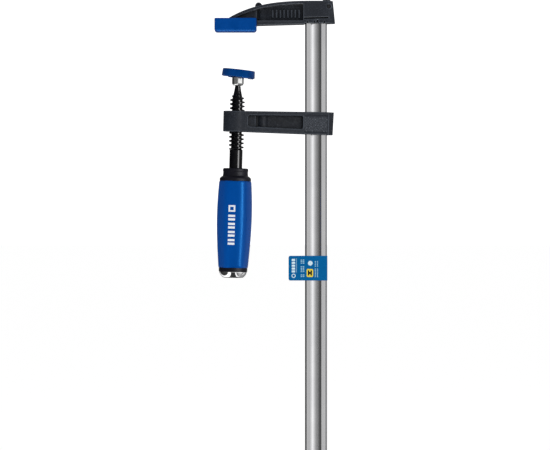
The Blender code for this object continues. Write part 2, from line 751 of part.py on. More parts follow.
def make_handle_end_cap(parent):
    """Bright cap on the rear of the handle, with a spigot ring inside the handle core."""
    top = RING_BOTTOM - GAP
    spigot_top = top + 3.0 * MM
    spigot = HANDLE_CHAMBER_RADIUS - GAP
    wall = 1.0 * MM
    profile = [
        (spigot, spigot_top),
        (spigot, top),
        (10.0 * MM, top),
        (10.1 * MM, top - 0.6 * MM),
        (9.8 * MM, top - 1.6 * MM),
        (8.9 * MM, top - 3.0 * MM),
        (7.2 * MM, END_CAP_BOTTOM + 0.4 * MM),
        (4.0 * MM, END_CAP_BOTTOM),
        (0, END_CAP_BOTTOM),
        (0, END_CAP_BOTTOM + wall),
        (spigot - wall, END_CAP_BOTTOM + 1.6 * MM),
        (spigot - wall, spigot_top),
    ]
    first_on_axis = profile.index((0, END_CAP_BOTTOM))
    around = profile[first_on_axis + 1:] + profile[:first_on_axis + 1]
    cap = turned_object("handle_end_cap", around, parent, CHROME, steps=40)
    smooth(cap)


def make_handle_screw(parent):
    head_top = HANDLE_WEB_BOTTOM - 2 * GAP - 1.0 * MM
    head_height = 3.4 * MM
    across_corners = 4.6 * MM
    at = (0, 0, head_top - head_height / 2)
    head = rod_mesh("handle_screw", across_corners, head_height, at, sides=6)
    screw = add_object("handle_screw", head, parent, PIN_STEEL)
    tip = TANG_BOTTOM + 12 * MM
    length = tip - head_top + 1.0 * MM
    shank_at = (0, 0, tip - length / 2)
    join(screw, rod_mesh("handle_screw_shank", SCREW_RADIUS, length, shank_at, sides=20))
    smooth(screw)


def make_handle_washer(parent):
    top = HANDLE_WEB_BOTTOM - GAP
    profile = [
        (6.0 * MM, top),
        (6.0 * MM, top - 1.0 * MM),
        (SCREW_RADIUS + GAP, top - 1.0 * MM),
        (SCREW_RADIUS + GAP, top),
    ]
    washer = turned_object(
        "handle_washer", profile, parent, BRIGHT_STEEL, steps=28, closed=True
    )
    smooth(washer)


# ---------------------------------------------------------------- tag

def make_bar_tag(parent):
    """A printed tag folded round the bar, its two ends stuck together as a flat flag.

    The front sheet runs straight on into the flag; the rear sheet comes forward to meet it.
    """
    inner_x = BAR_WIDTH / 2 + TAG_GAP
    inner_y = BAR_THICKNESS / 2 + TAG_GAP
    outer_x = inner_x + TAG_SHEET
    outer_y = inner_y + TAG_SHEET
    flag_back = -inner_y + TAG_SHEET
    fold = -inner_x - 3.0 * MM
    corner_x = outer_x - BAR_EDGE_RADIUS
    corner_y = outer_y - BAR_EDGE_RADIUS
    outer = (
        [(TAG_LEFT, -outer_y)]
        + arc(corner_x, -corner_y, BAR_EDGE_RADIUS, -90, 0, 3)
        + arc(corner_x, corner_y, BAR_EDGE_RADIUS, 0, 90, 3)
        + [(-inner_x, outer_y), (fold, flag_back), (TAG_LEFT, flag_back)]
    )
    hollow = [
        (fold + 2 * TAG_SHEET, -inner_y),
        (inner_x, -inner_y),
        (inner_x, inner_y),
        (-inner_x, inner_y),
    ]
    mesh = upright_mesh("bar_tag", [outer, hollow], TAG_BOTTOM, TAG_TOP)
    tag = add_object("bar_tag", mesh, parent, TAG_BLUE)
    smooth(tag)


# ---------------------------------------------------------------- assembly

def build():
    bar_axis = make_axis("bar_axis")
    make_bar(bar_axis)
    jaw_pin_at = (JAW_PIN_X, 0, JAW_DATUM + JAW_PIN_Z)
    make_pin("fixed_jaw_pin", bar_axis, jaw_pin_at, JAW_PIN_HALF)
    make_pin("bar_stop_pin", bar_axis, (0, 0, STOP_PIN_Z), STOP_PIN_HALF)
    make_fixed_jaw(bar_axis)
    make_fixed_jaw_cap(bar_axis)
    make_bar_tag(bar_axis)

    arm_axis = make_axis("arm_axis", bar_axis, (0, 0, ARM_Z), ARM_CANT)
    make_sliding_arm(arm_axis)

    spindle_axis = make_axis("spindle_axis", arm_axis, (SPINDLE_X, 0, 0))
    make_spindle(spindle_axis)
    make_handle_core(spindle_axis)
    make_handle_grip(spindle_axis)
    make_handle_screw(spindle_axis)
    make_handle_washer(spindle_axis)
    make_handle_end_cap(spindle_axis)
    make_swivel_ferrule(spindle_axis)

    pad_pivot = make_axis("pad_pivot", spindle_axis, (0, 0, BALL_Z), PAD_TILT)
    make_pad_ball_stud(pad_pivot)
    make_pad_plate(pad_pivot)
    make_pad_cap(pad_pivot)


build()
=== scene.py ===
"""Looks of the F clamp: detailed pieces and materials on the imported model, with a white
studio stage, soft lights and a long-lens camera square to the clamp's side.
Lengths are in millimetres, unless a comment says metres; the mesh helpers turn them into
the scene's metres."""

import json
from math import asin, cos, floor, pi, radians, sin, sqrt

import bmesh
import bpy
from mathutils import Matrix, Vector


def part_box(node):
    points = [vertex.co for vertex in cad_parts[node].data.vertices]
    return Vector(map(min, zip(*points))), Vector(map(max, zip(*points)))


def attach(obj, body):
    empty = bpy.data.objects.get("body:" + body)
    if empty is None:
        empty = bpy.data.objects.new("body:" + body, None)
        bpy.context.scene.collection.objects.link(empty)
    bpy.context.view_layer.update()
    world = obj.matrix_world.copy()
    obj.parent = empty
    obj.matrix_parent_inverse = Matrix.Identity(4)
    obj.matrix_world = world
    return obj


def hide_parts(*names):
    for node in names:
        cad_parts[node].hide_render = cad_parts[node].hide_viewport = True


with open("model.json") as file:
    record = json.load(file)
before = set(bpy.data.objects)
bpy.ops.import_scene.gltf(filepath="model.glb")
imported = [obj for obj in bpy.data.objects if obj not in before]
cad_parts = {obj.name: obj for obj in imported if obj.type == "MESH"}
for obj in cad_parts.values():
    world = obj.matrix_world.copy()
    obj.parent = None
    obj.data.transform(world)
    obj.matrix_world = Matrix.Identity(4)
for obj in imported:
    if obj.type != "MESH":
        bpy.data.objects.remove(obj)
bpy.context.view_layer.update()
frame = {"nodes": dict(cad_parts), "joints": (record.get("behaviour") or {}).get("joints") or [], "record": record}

MM = 0.001
HAIR_GAP = 0.02  # between touching pieces that ride on one body
FIT_GAP = 0.3  # between pieces pressed or slid together
JOINTS = {joint["name"]: joint for joint in frame["joints"]}
MOUNTS = {mount["name"]: mount for mount in frame["record"]["mounts"]}


# ---- frames of the moving groups

def box_mm(node):
    """Lowest and highest corner of a CAD node, in millimetres."""
    low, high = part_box(node)
    return low / MM, high / MM


def local_frame(origin, up):
    """A frame at origin, in metres, whose Z is up and whose Y is the clamp's thickness."""
    up = Vector(up).normalized()
    right = Vector((0, 1, 0)).cross(up)
    rotation = Matrix((right, (0, 1, 0), up)).transposed().to_4x4()
    return Matrix.Translation(origin) @ rotation


SPINDLE_AT = Vector(JOINTS["spindle_turn"]["pos_m"])
SPINDLE_AXIS = JOINTS["spindle_turn"]["axis"]
SPINDLE_FRAME = local_frame(SPINDLE_AT, SPINDLE_AXIS)
PAD_FRAME = local_frame(Vector(JOINTS["pad_tilt"]["pos_m"]), MOUNTS["pad_face"]["axis"])
ARM_RIGHT = SPINDLE_FRAME.to_3x3() @ Vector((1, 0, 0))
ARM_REACH = SPINDLE_AT.x / ARM_RIGHT.x  # metres, from the bar's middle to the spindle
ARM_FRAME = local_frame(SPINDLE_AT - ARM_RIGHT * ARM_REACH, SPINDLE_AXIS)
SPINDLE_X = ARM_REACH / MM
BAR_TOP = box_mm("guide_bar")[1].z
JAW_DATUM = box_mm("fixed_jaw")[1].z

# Where a piece goes: the body that carries it, and the frame that its mesh is drawn in.
ON_BAR = ("bar_and_fixed_jaw", Matrix.Identity(4))
ON_JAW = ("bar_and_fixed_jaw", Matrix.Translation((0, 0, JAW_DATUM * MM)))
ON_ARM = ("arm", ARM_FRAME)
ON_SWIVEL = ("swivel", SPINDLE_FRAME)
ON_HANDLE = ("spindle_and_handle", SPINDLE_FRAME)
ON_PAD = ("pad", PAD_FRAME)


# ---- mesh helpers

def link(name, data):
    piece = bpy.data.objects.new(name, data)
    bpy.context.scene.collection.objects.link(piece)
    return piece


def vertex(bm, x, y, z):
    return bm.verts.new((x * MM, y * MM, z * MM))


def mesh_from(bm):
    mesh = bpy.data.meshes.new("work")
    bm.to_mesh(mesh)
    bm.free()
    return mesh


def closed_mesh(bm):
    """A mesh of closed shells, with every face turned outwards."""
    bmesh.ops.recalc_face_normals(bm, faces=bm.faces)
    return mesh_from(bm)


def evaluated_mesh(piece):
    """The piece's mesh with its modifiers applied; the piece itself is removed."""
    depsgraph = bpy.context.evaluated_depsgraph_get()
    mesh = bpy.data.meshes.new_from_object(piece.evaluated_get(depsgraph))
    bpy.data.objects.remove(piece)
    return mesh


def arc(cx, cy, radius, start, end, steps):
    angles = [radians(start + (end - start) * i / steps) for i in range(steps + 1)]
    return [(cx + radius * cos(a), cy + radius * sin(a)) for a in angles]


def rounded_box(x0, y0, x1, y1, radius, steps=8):
    return (
        arc(x1 - radius, y0 + radius, radius, -90, 0, steps)
        + arc(x1 - radius, y1 - radius, radius, 0, 90, steps)
        + arc(x0 + radius, y1 - radius, radius, 90, 180, steps)
        + arc(x0 + radius, y0 + radius, radius, 180, 270, steps)
    )


def flat_mesh(outlines, thickness):
    """A flat sheet in XY with an outer outline and holes, centred on z = 0."""
    curve = bpy.data.curves.new("sheet", "CURVE")
    curve.dimensions = "2D"
    curve.fill_mode = "BOTH"
    curve.extrude = thickness * MM / 2
    for outline in outlines:
        spline = curve.splines.new("POLY")
        spline.points.add(len(outline) - 1)
        for point, (x, y) in zip(spline.points, outline):
            point.co = (x * MM, y * MM, 0, 1)
        spline.use_cyclic_u = True
    bm = bmesh.new()
    bm.from_mesh(evaluated_mesh(link("sheet", curve)))
    bmesh.ops.remove_doubles(bm, verts=bm.verts, dist=0.001 * MM)
    return closed_mesh(bm)


def side_mesh(outlines, thickness, y=0.0):
    """A sheet across the clamp's thickness, from (x, z) outlines, centred on y."""
    mesh = flat_mesh(outlines, thickness)
    mesh.transform(Matrix.Translation((0, y * MM, 0)) @ Matrix.Rotation(pi / 2, 4, "X"))
    return mesh


def box_mesh(low, high):
    low = Vector(low) * MM
    high = Vector(high) * MM
    place = Matrix.Translation((low + high) / 2) @ Matrix.Diagonal((*(high - low), 1.0))
    bm = bmesh.new()
    bmesh.ops.create_cube(bm, size=1.0, matrix=place)
    return mesh_from(bm)


def stacked_mesh(levels):
    """A closed skin over level outlines of equal counts, from (z, outline) pairs."""
    bm = bmesh.new()
    rings = [[vertex(bm, x, y, z) for x, y in outline] for z, outline in levels]
    for lower, upper in zip(rings, rings[1:]):
        for i in range(len(lower)):
            j = (i + 1) % len(lower)
            bm.faces.new((lower[i], lower[j], upper[j], upper[i]))
    bm.faces.new(rings[0])
    bm.faces.new(rings[-1])
    return closed_mesh(bm)


def soft_block_mesh(low, high, corner, bottom_edge, top_edge, steps=8):
    """A block from low to high, with rounded upright corners and rounded rims."""
    turn = [pi / 2 * i / steps for i in range(steps + 1)]
    rims = [(low[2] + bottom_edge * (1 - cos(a)), bottom_edge * (1 - sin(a))) for a in turn]
    rims += [(high[2] - top_edge * (1 - cos(a)), top_edge * (1 - sin(a))) for a in turn[::-1]]
    levels = []
    for z, inset in rims:
        x0, y0, x1, y1 = low[0] + inset, low[1] + inset, high[0] - inset, high[1] - inset
        levels.append((z, rounded_box(x0, y0, x1, y1, max(corner - inset, 0.15), steps)))
    return stacked_mesh(levels)


def add_rod(bm, radius1, radius2, length, sides, place):
    bmesh.ops.create_cone(
        bm, cap_ends=True, segments=sides, radius1=radius1 * MM, radius2=radius2 * MM,
        depth=length * MM, matrix=place,
    )


def rod_mesh(radius, length, centre, along="Z", sides=64):
    turn = Matrix.Rotation(pi / 2 if along == "Y" else 0.0, 4, "X")
    bm = bmesh.new()
    add_rod(bm, radius, radius, length, sides, Matrix.Translation(Vector(centre) * MM) @ turn)
    return mesh_from(bm)


def carve(mesh, steps):
    """Apply Booleans in order; steps are ("cut" or "join", mesh)."""
    piece = link("carved", mesh)
    tools = []
    for action, tool_mesh in steps:
        tool = link("tool", tool_mesh)
        tools.append(tool)
        boolean = piece.modifiers.new(action, "BOOLEAN")
        boolean.operation = "DIFFERENCE" if action == "cut" else "UNION"
        boolean.solver = "MANIFOLD"
        boolean.object = tool
    result = evaluated_mesh(piece)
    for tool in tools:
        bpy.data.objects.remove(tool)
    return result


def cast_surface(mesh, voxel, soften, keep):
    """Melt a carved solid into one skin with soft edges and filleted corners."""
    piece = link("cast", mesh)
    remesh = piece.modifiers.new("voxels", "REMESH")
    remesh.mode = "VOXEL"
    remesh.voxel_size = voxel * MM
    relax = piece.modifiers.new("soften", "SMOOTH")
    relax.factor = 0.5
    relax.iterations = soften
    thin = piece.modifiers.new("thin", "DECIMATE")
    thin.ratio = keep
    return evaluated_mesh(piece)


def filleted(corners, steps=5):
    """A profile with rounded corners, from (radius, z, fillet) corners."""
    points = []
    last = len(corners) - 1
    for i, (x, z, size) in enumerate(corners):
        if size == 0 or i in (0, last):
            points.append((x, z))
            continue
        corner = Vector((x, z))
        before = Vector(corners[i - 1][:2]) - corner
        after = Vector(corners[i + 1][:2]) - corner
        start = corner + before.normalized() * min(size, 0.48 * before.length)
        end = corner + after.normalized() * min(size, 0.48 * after.length)
        for k in range(steps + 1):
            t = k / steps
            point = start * (1 - t) ** 2 + corner * 2 * t * (1 - t) + end * t * t
            points.append((point.x, point.y))
    return points


def densify(profile, low, high, step):
    """Add points where low < z <= high, for a fine surface there."""
    dense = [profile[0]]
    for (r0, z0), (r1, z1) in zip(profile, profile[1:]):
        if low < z0 <= high and z0 - z1 > step:
            parts = int((z0 - z1) / step) + 1
            for i in range(1, parts):
                t = i / parts
                dense.append((r0 + (r1 - r0) * t, z0 + (z1 - z0) * t))
        dense.append((r1, z1))
    return dense


def lathe_mesh(profile, around=96, shape=None, closed=False):
    """A turned surface through (radius, z) points; shape(angle, radius, z) bends the radius."""
    bm = bmesh.new()
    rings = []
    for radius, z in profile:
        ring = []
        for i in range(around if radius > 0 else 1):
            angle = 2 * pi * i / around
            reach = shape(angle, radius, z) if shape else radius
            ring.append(vertex(bm, reach * cos(angle), reach * sin(angle), z))
        rings.append(ring)
    pairs = list(zip(rings, rings[1:]))
    if closed:
        pairs.append((rings[-1], rings[0]))
    for upper, lower in pairs:
        for i in range(around):
            j = (i + 1) % around
            corners = (upper[i % len(upper)], lower[i % len(lower)])
            corners += (lower[j % len(lower)], upper[j % len(upper)])
            corners = list(dict.fromkeys(corners))
            if len(corners) > 2:
                bm.faces.new(corners)
    if not closed:
        for ring in (rings[0], rings[-1]):
            if len(ring) > 1:
                bm.faces.new(ring)
    return closed_mesh(bm)


def sheet_mesh(columns, thickness):
    """A closed sheet of even thickness, from columns of points on its middle."""
    bm = bmesh.new()
    grid = [[vertex(bm, *point) for point in column] for column in columns]
    for first, second in zip(grid, grid[1:]):
        for k in range(len(first) - 1):
            bm.faces.new((first[k], second[k], second[k + 1], first[k + 1]))
    sheet = link("sheet", mesh_from(bm))
    thick = sheet.modifiers.new("thick", "SOLIDIFY")
    thick.thickness = thickness * MM
    thick.offset = 0.0
    return evaluated_mesh(sheet)


def join_meshes(meshes):
    """Several closed shapes kept together in one mesh."""
    bm = bmesh.new()
    for mesh in meshes:
        bm.from_mesh(mesh)
    return mesh_from(bm)


def finish_piece(name, mesh, place, slot, material, *nodes, sharp=35.0):
    """Put a finished mesh in its frame, shade it, and hang it on its body."""
    body, matrix = place
    mesh.name = name
    mesh.transform(matrix)
    mesh.materials.clear()
    mesh.materials.append(material)
    mesh.shade_smooth()
    mesh.set_sharp_from_angle(angle=radians(sharp))
    piece = link(name, mesh)
    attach(piece, body)
    if nodes:
        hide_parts(*nodes)


def finish_casting(name, body, steps, place, slot, material, node, voxel=0.28, soften=2, keep=0.4):
    """Carve a body, melt it into one skin, and finish it."""
    mesh = cast_surface(carve(body, steps), voxel, soften, keep)
    finish_piece(name, mesh, place, slot, material, node, sharp=60.0)


# ---- node helpers

class Nodes:
    """A node tree with short ways to add and join nodes."""

    def __init__(self, tree):
        self.tree = tree

    def add(self, kind, feeds=None, **settings):
        """A new node; feeds gives its inputs a constant or another node's output."""
        node = self.tree.nodes.new(kind)
        for key, value in settings.items():
            setattr(node, key, value)
        for key, value in (feeds or {}).items():
            if isinstance(value, bpy.types.NodeSocket):
                self.tree.links.new(value, node.inputs[key])
            else:
                node.inputs[key].default_value = value
        return node

    def split(self, vector):
        """The X, Y and Z of a vector."""
        return list(self.add("ShaderNodeSeparateXYZ", {"Vector": vector}).outputs)

    def maths(self, operation, *values):
        return self.add("ShaderNodeMath", dict(enumerate(values)), operation=operation).outputs[0]

    def remap(self, value, low, high, out_low=0.0, out_high=1.0):
        limits = {"From Min": low, "From Max": high, "To Min": out_low, "To Max": out_high}
        return self.add("ShaderNodeMapRange", {"Value": value, **limits}).outputs["Result"]

    def blend(self, factor, first, second):
        """A colour between two colours, each a tuple or another node's output."""
        first, second = [(*c, 1.0) if isinstance(c, tuple) else c for c in (first, second)]
        feeds = {"Factor": factor, 6: first, 7: second}
        return self.add("ShaderNodeMix", feeds, data_type="RGBA").outputs[2]

    def grey_ramp(self, value, levels):
        """Grey levels along a value from 0 to 1."""
        node = self.add("ShaderNodeValToRGB", {"Fac": value})
        stops = node.color_ramp.elements
        for position, level in levels:
            stops.new(position).color = (level, level, level, 1)
        stops.remove(stops[0])
        stops.remove(stops[-1])
        return node.outputs["Color"]


class Shader(Nodes):
    """A material with a Principled shader, laid out in object coordinates (metres)."""

    def __init__(self, name, colour, roughness, metallic=0.0, specular=0.5, tint=(1, 1, 1)):
        self.material = bpy.data.materials.new(name)
        self.material.use_nodes = True
        super().__init__(self.material.node_tree)
        self.principled = self.tree.nodes["Principled BSDF"].inputs
        self.principled["Base Color"].default_value = (*colour, 1.0)
        self.principled["Roughness"].default_value = roughness
        self.principled["Metallic"].default_value = metallic
        self.principled["Specular IOR Level"].default_value = specular
        self.principled["Specular Tint"].default_value = (*tint, 1.0)
        self.where = self.add("ShaderNodeTexCoord").outputs["Object"]

    def drive(self, socket, output):
        self.tree.links.new(output, self.principled[socket])

    def noise(self, scale, detail=4.0, rough=0.55, stretch=None):
        """Noise of this scale, or stretched by a scale for each axis."""
        where = self.where
        if stretch:
            mapping = self.add("ShaderNodeMapping", {"Vector": where, "Scale": stretch})
            where = mapping.outputs["Vector"]
        feeds = {"Vector": where, "Scale": scale, "Detail": detail, "Roughness": rough}
        return self.add("ShaderNodeTexNoise", feeds).outputs["Fac"]

    def paint(self, factor, first, second):
        """Base colour between two colours."""
        self.drive("Base Color", self.blend(factor, first, second))

    def rough(self, noise, least, most, low=0.3):
        self.drive("Roughness", self.remap(noise, low, 0.7, least, most))

    def bump(self, height, strength, distance):
        """Add one layer of bump on top of those already there."""
        feeds = {"Strength": strength, "Distance": distance * MM, "Height": height}
        for link_below in self.principled["Normal"].links:
            feeds["Normal"] = link_below.from_socket
        self.drive("Normal", self.add("ShaderNodeBump", feeds).outputs["Normal"])

    def openness(self, reach, inside=False):
        """How open the space is within reach: outside the surface, or inside the solid."""
        feeds = {"Distance": reach * MM}
        node = self.add("ShaderNodeAmbientOcclusion", feeds, samples=8, inside=inside)
        return node.outputs["AO"]


# ---- materials

BLUE_GLOSS = (0.06, 0.45, 1.0)  # the pigmented plastics reflect blue, not white
FILM_GLOSS = (0.3, 0.65, 1.0)


def drawn_steel():
    """Bright cold-drawn bar: die lines, lands polished by the arm, a duller groove, and painted shade on the
    rounded edges.
    """
    s = Shader("drawn_steel", (0.78, 0.78, 0.79), 0.24, metallic=1.0)
    lines = s.noise(1.0, 3.0, 0.6, stretch=(2600, 2600, 9))
    smudge = s.remap(s.noise(38), 0.35, 0.7)
    groove = s.blend(smudge, (0.66, 0.66, 0.67), (0.58, 0.58, 0.595))
    land = s.blend(smudge, (0.93, 0.93, 0.94), (0.87, 0.87, 0.885))
    off_middle = s.maths("ABSOLUTE", s.split(s.where)[0])
    face = s.blend(s.remap(off_middle, 3.85 * MM, 4.05 * MM), groove, land)
    # The dark band on the rounded edges is painted shade, standing in for their dark edge reflection.
    face_with_painted_edge_shade = s.blend(s.remap(off_middle, 6.8 * MM, 7.05 * MM), face, (0.14, 0.14, 0.15))
    # The flat narrow sides go back to plain bright steel, outside the painted edge shade.
    s.paint(s.remap(off_middle, 7.8 * MM, 7.95 * MM), face_with_painted_edge_shade, (0.74, 0.74, 0.75))
    s.rough(lines, 0.13, 0.2)
    s.bump(lines, 0.08, 0.03)
    return s.material


def dark_spring_steel():
    """Oiled spring steel of the pins."""
    s = Shader("dark_spring_steel", (0.05, 0.05, 0.055), 0.4, metallic=1.0)
    mottle = s.noise(900)
    s.paint(mottle, (0.03, 0.03, 0.034), (0.075, 0.075, 0.08))
    s.rough(mottle, 0.32, 0.52)
    s.bump(mottle, 0.2, 0.03)
    return s.material


def coated_casting():
    """Dark powder coat over sand-cast iron: grainy with light specks that are partly painted glints, edges lighter
    from wear and a painted highlight, and painted shade in its corners.
    """
    s = Shader("coated_casting", (0.019, 0.022, 0.028), 0.55, specular=0.22)
    grain = s.noise(1000, 3.0, 0.6)
    lumps = s.noise(320, 5.0, 0.6)
    patches = s.remap(s.noise(60, 3.0), 0.35, 0.65)
    base = s.blend(patches, (0.0075, 0.010, 0.016), (0.0155, 0.0195, 0.0275))
    # Light specks of grain, partly standing in for glints as painted highlights.
    speck_and_painted_glints = s.blend(s.remap(grain, 0.52, 0.72, 0, 0.45), base, (0.056, 0.065, 0.081))
    # Lighter edges: partly wear, partly a painted highlight along the rims.
    worn_and_highlit_edges = s.remap(s.openness(1.0, inside=True), 0.93, 0.7)
    skin = s.blend(worn_and_highlit_edges, speck_and_painted_glints, (0.062, 0.072, 0.09))
    # Painted shade: near black in corners and recesses, where shade falls.
    clear_of_painted_corner_shade = s.remap(s.openness(1.8), 0.45, 0.9)
    s.paint(clear_of_painted_corner_shade, (0.0015, 0.0018, 0.0025), skin)
    s.rough(lumps, 0.42, 0.66)
    s.bump(lumps, 0.5, 0.25)
    s.bump(grain, 0.6, 0.12)
    return s.material


def rubbed_and_highlit_casting():
    """The same coat on the hub's studs, lighter partly from rubbing by handling and partly as a painted highlight
    on their tips.
    """
    s = Shader("rubbed_and_highlit_casting", (0.1, 0.108, 0.122), 0.5, specular=0.3)
    rub = s.noise(640)
    # The lighter colour is partly rubbed wear and partly a painted highlight on the stud tips.
    s.paint(s.remap(rub, 0.40, 0.60), (0.016, 0.018, 0.023), (0.14, 0.153, 0.175))
    s.rough(rub, 0.38, 0.6)
    s.bump(rub, 0.3, 0.06)
    return s.material


def black_screw():
    """Blackened, oiled screw steel: glossy black with fine turning marks."""
    s = Shader("black_screw", (0.0022, 0.0022, 0.0034), 0.24, specular=0.17)
    turning = s.noise(1.0, 2.0, 0.5, stretch=(30, 30, 5200))
    oil = s.noise(240)
    s.paint(s.remap(oil, 0.4, 0.7), (0.0012, 0.0012, 0.0022), (0.004, 0.004, 0.0055))
    s.rough(oil, 0.09, 0.17)
    s.bump(turning, 0.07, 0.02)
    return s.material


def bright_zinc():
    """Bright zinc plate with a faint crystal mottle."""
    s = Shader("bright_zinc", (0.8, 0.8, 0.78), 0.16, metallic=1.0, tint=(0.1, 0.1, 0.11))
    mottle = s.noise(700, 3.0)
    s.paint(s.remap(mottle, 0.4, 0.65), (0.78, 0.78, 0.77), (0.55, 0.555, 0.55))
    s.rough(mottle, 0.12, 0.24)
    s.bump(mottle, 0.1, 0.05)
    return s.material


def polished_chrome():
    """Polished cap with hairline scratches."""
    s = Shader("polished_chrome", (0.88, 0.88, 0.88), 0.07, metallic=1.0, tint=(0.25, 0.25, 0.27))
    hair = s.noise(1.0, 2.0, 0.5, stretch=(2500, 120, 120))
    s.paint(s.noise(90, 2.0), (0.84, 0.84, 0.85), (0.93, 0.93, 0.92))
    s.rough(hair, 0.05, 0.13, low=0.4)
    s.bump(hair, 0.04, 0.02)
    return s.material


def soft_blue_cap(name, darker, lighter):
    """Soft PVC of both caps: satin, finely pebbled, slightly scuffed."""
    s = Shader(name, lighter, 0.42, specular=0.25, tint=BLUE_GLOSS)
    scuff = s.noise(150, 6.0, 0.65)
    s.paint(s.remap(scuff, 0.35, 0.7), darker, lighter)
    s.rough(scuff, 0.36, 0.52)
    s.bump(s.noise(2200, 2.0), 0.25, 0.04)
    s.bump(scuff, 0.1, 0.1)
    return s.material


def blue_grip_plastic():
    """Moulded grip: glossy satin blue with faint flow and handling marks."""
    s = Shader("blue_grip_plastic", (0.0, 0.06, 0.31), 0.3, specular=0.25, tint=BLUE_GLOSS)
    flow = s.remap(s.noise(1.0, 3.0, 0.5, stretch=(90, 90, 22)), 0.35, 0.65)
    handling = s.noise(420, 5.0, 0.6)
    s.paint(flow, (0.0, 0.055, 0.285), (0.001, 0.068, 0.335))
    s.rough(handling, 0.26, 0.36)
    s.bump(handling, 0.07, 0.06)
    return s.material


def black_moulding():
    """Black polypropylene of the handle's core, with a fine eroded texture."""
    s = Shader("black_moulding", (0.012, 0.012, 0.016), 0.36, specular=0.09)
    haze = s.noise(180)
    s.paint(haze, (0.0045, 0.0045, 0.008), (0.0095, 0.0095, 0.0155))
    s.rough(haze, 0.42, 0.56)
    s.bump(s.noise(2600, 2.0), 0.22, 0.03)
    return s.material


def printed_film(name, colour, darker):
    """Laminated print: even ink with a light dot grain and a faint ripple."""
    s = Shader(name, colour, 0.36, specular=0.2, tint=FILM_GLOSS)
    ripple = s.noise(110, 2.0)
    s.paint(s.remap(s.noise(1800, 1.0), 0.35, 0.65), darker, colour)
    s.rough(ripple, 0.3, 0.42)
    s.bump(ripple, 0.12, 0.25)
    return s.material


DRAWN_STEEL = drawn_steel()
SPRING_STEEL = dark_spring_steel()
CASTING = coated_casting()
RUBBED_AND_HIGHLIT_CASTING = rubbed_and_highlit_casting()
SCREW_BLACK = black_screw()
ZINC = bright_zinc()
CHROME = polished_chrome()
CAP_BLUE = soft_blue_cap("soft_blue_cap", (0.0, 0.044, 0.235), (0.002, 0.058, 0.29))
# The pad cap's copy of the same blue plastic is darker: painted shade for the lesser light on the pad.
PAD_BLUE_PAINTED_SHADE = soft_blue_cap("pad_blue_cap_painted_shade", (0.0, 0.029, 0.15), (0.001, 0.047, 0.225))
GRIP_BLUE = blue_grip_plastic()
MOULDED_BLACK = black_moulding()
FILM_BLUE = printed_film("film_blue", (0.0, 0.126, 0.35), (0.0, 0.104, 0.3))
INK_WHITE = printed_film("ink_white", (0.72, 0.86, 0.92), (0.55, 0.74, 0.84))
INK_PALE = printed_film("ink_pale", (0.36, 0.60, 0.74), (0.22, 0.46, 0.63))
INK_YELLOW = printed_film("ink_yellow", (0.87, 0.69, 0.07), (0.78, 0.60, 0.05))
INK_BLACK = printed_film("ink_black", (0.012, 0.011, 0.01), (0.02, 0.018, 0.015))
INK_GRIP = printed_film("ink_grip", (0.86, 0.89, 0.92), (0.76, 0.80, 0.85))


# ---- bar

BAR_HALF_X, BAR_HALF_Y = box_mm("guide_bar")[1].xy
BAR_EDGE = 1.2
BAR_CHAMFER = 0.35
GROOVE_HALF = 3.8
GROOVE_DEPTH = 1.6
PIN_HOLE = 1.56
JAW_PIN_AT = sum(box_mm("fixed_jaw_pin"), Vector()) / 2
STOP_PIN_AT = sum(box_mm("bar_stop_pin"), Vector()) / 2


def bar_section(inset=0.0):
    """The bar's section, optionally shrunk for the small chamfer at its ends."""
    half_x = BAR_HALF_X - inset
    half_y = BAR_HALF_Y - inset
    radius = (GROOVE_HALF ** 2 + GROOVE_DEPTH ** 2) / (2 * GROOVE_DEPTH)
    steps = 28
    groove = []
    for i in range(1, steps):
        x = GROOVE_HALF * (2 * i / steps - 1)
        groove.append((x, -half_y + sqrt(radius ** 2 - x ** 2) - (radius - GROOVE_DEPTH)))
    lip = [
        (GROOVE_HALF - 0.12, -half_y + 0.115), (GROOVE_HALF, -half_y + 0.03),
        (GROOVE_HALF + 0.15, -half_y), (GROOVE_HALF + 0.3, -half_y),
    ]
    edge_x = half_x - BAR_EDGE
    right = [(edge_x - 0.15, -half_y)]
    right += arc(edge_x, -half_y + BAR_EDGE, BAR_EDGE, -90, 0, 10)
    right += arc(edge_x, half_y - BAR_EDGE, BAR_EDGE, 0, 90, 10)
    right.append((edge_x - 0.15, half_y))
    lower = [(-x, y) for x, y in lip[::-1]] + groove + lip + right
    return lower + [(-x, -y) for x, y in lower]


def make_bar():
    """The drawn bar with a filed chamfer round both cut ends."""
    ends = bar_section(BAR_CHAMFER)
    body = [(BAR_CHAMFER, bar_section()), (BAR_TOP - BAR_CHAMFER, bar_section())]
    holes = [("cut", rod_mesh(PIN_HOLE, 30, at, "Y")) for at in (JAW_PIN_AT, STOP_PIN_AT)]
    mesh = carve(stacked_mesh([(0.0, ends), *body, (BAR_TOP, ends)]), holes)
    finish_piece("drawn_bar", mesh, ON_BAR, "bright_steel", DRAWN_STEEL, "guide_bar")


# ---- castings

CASTING_HALF = 8.0
WEB_HALF = 2.5
HUB_LEFT = -9.4
HUB_RIGHT = 9.5
BEYOND = 30.0  # far enough out to pass a casting's skin

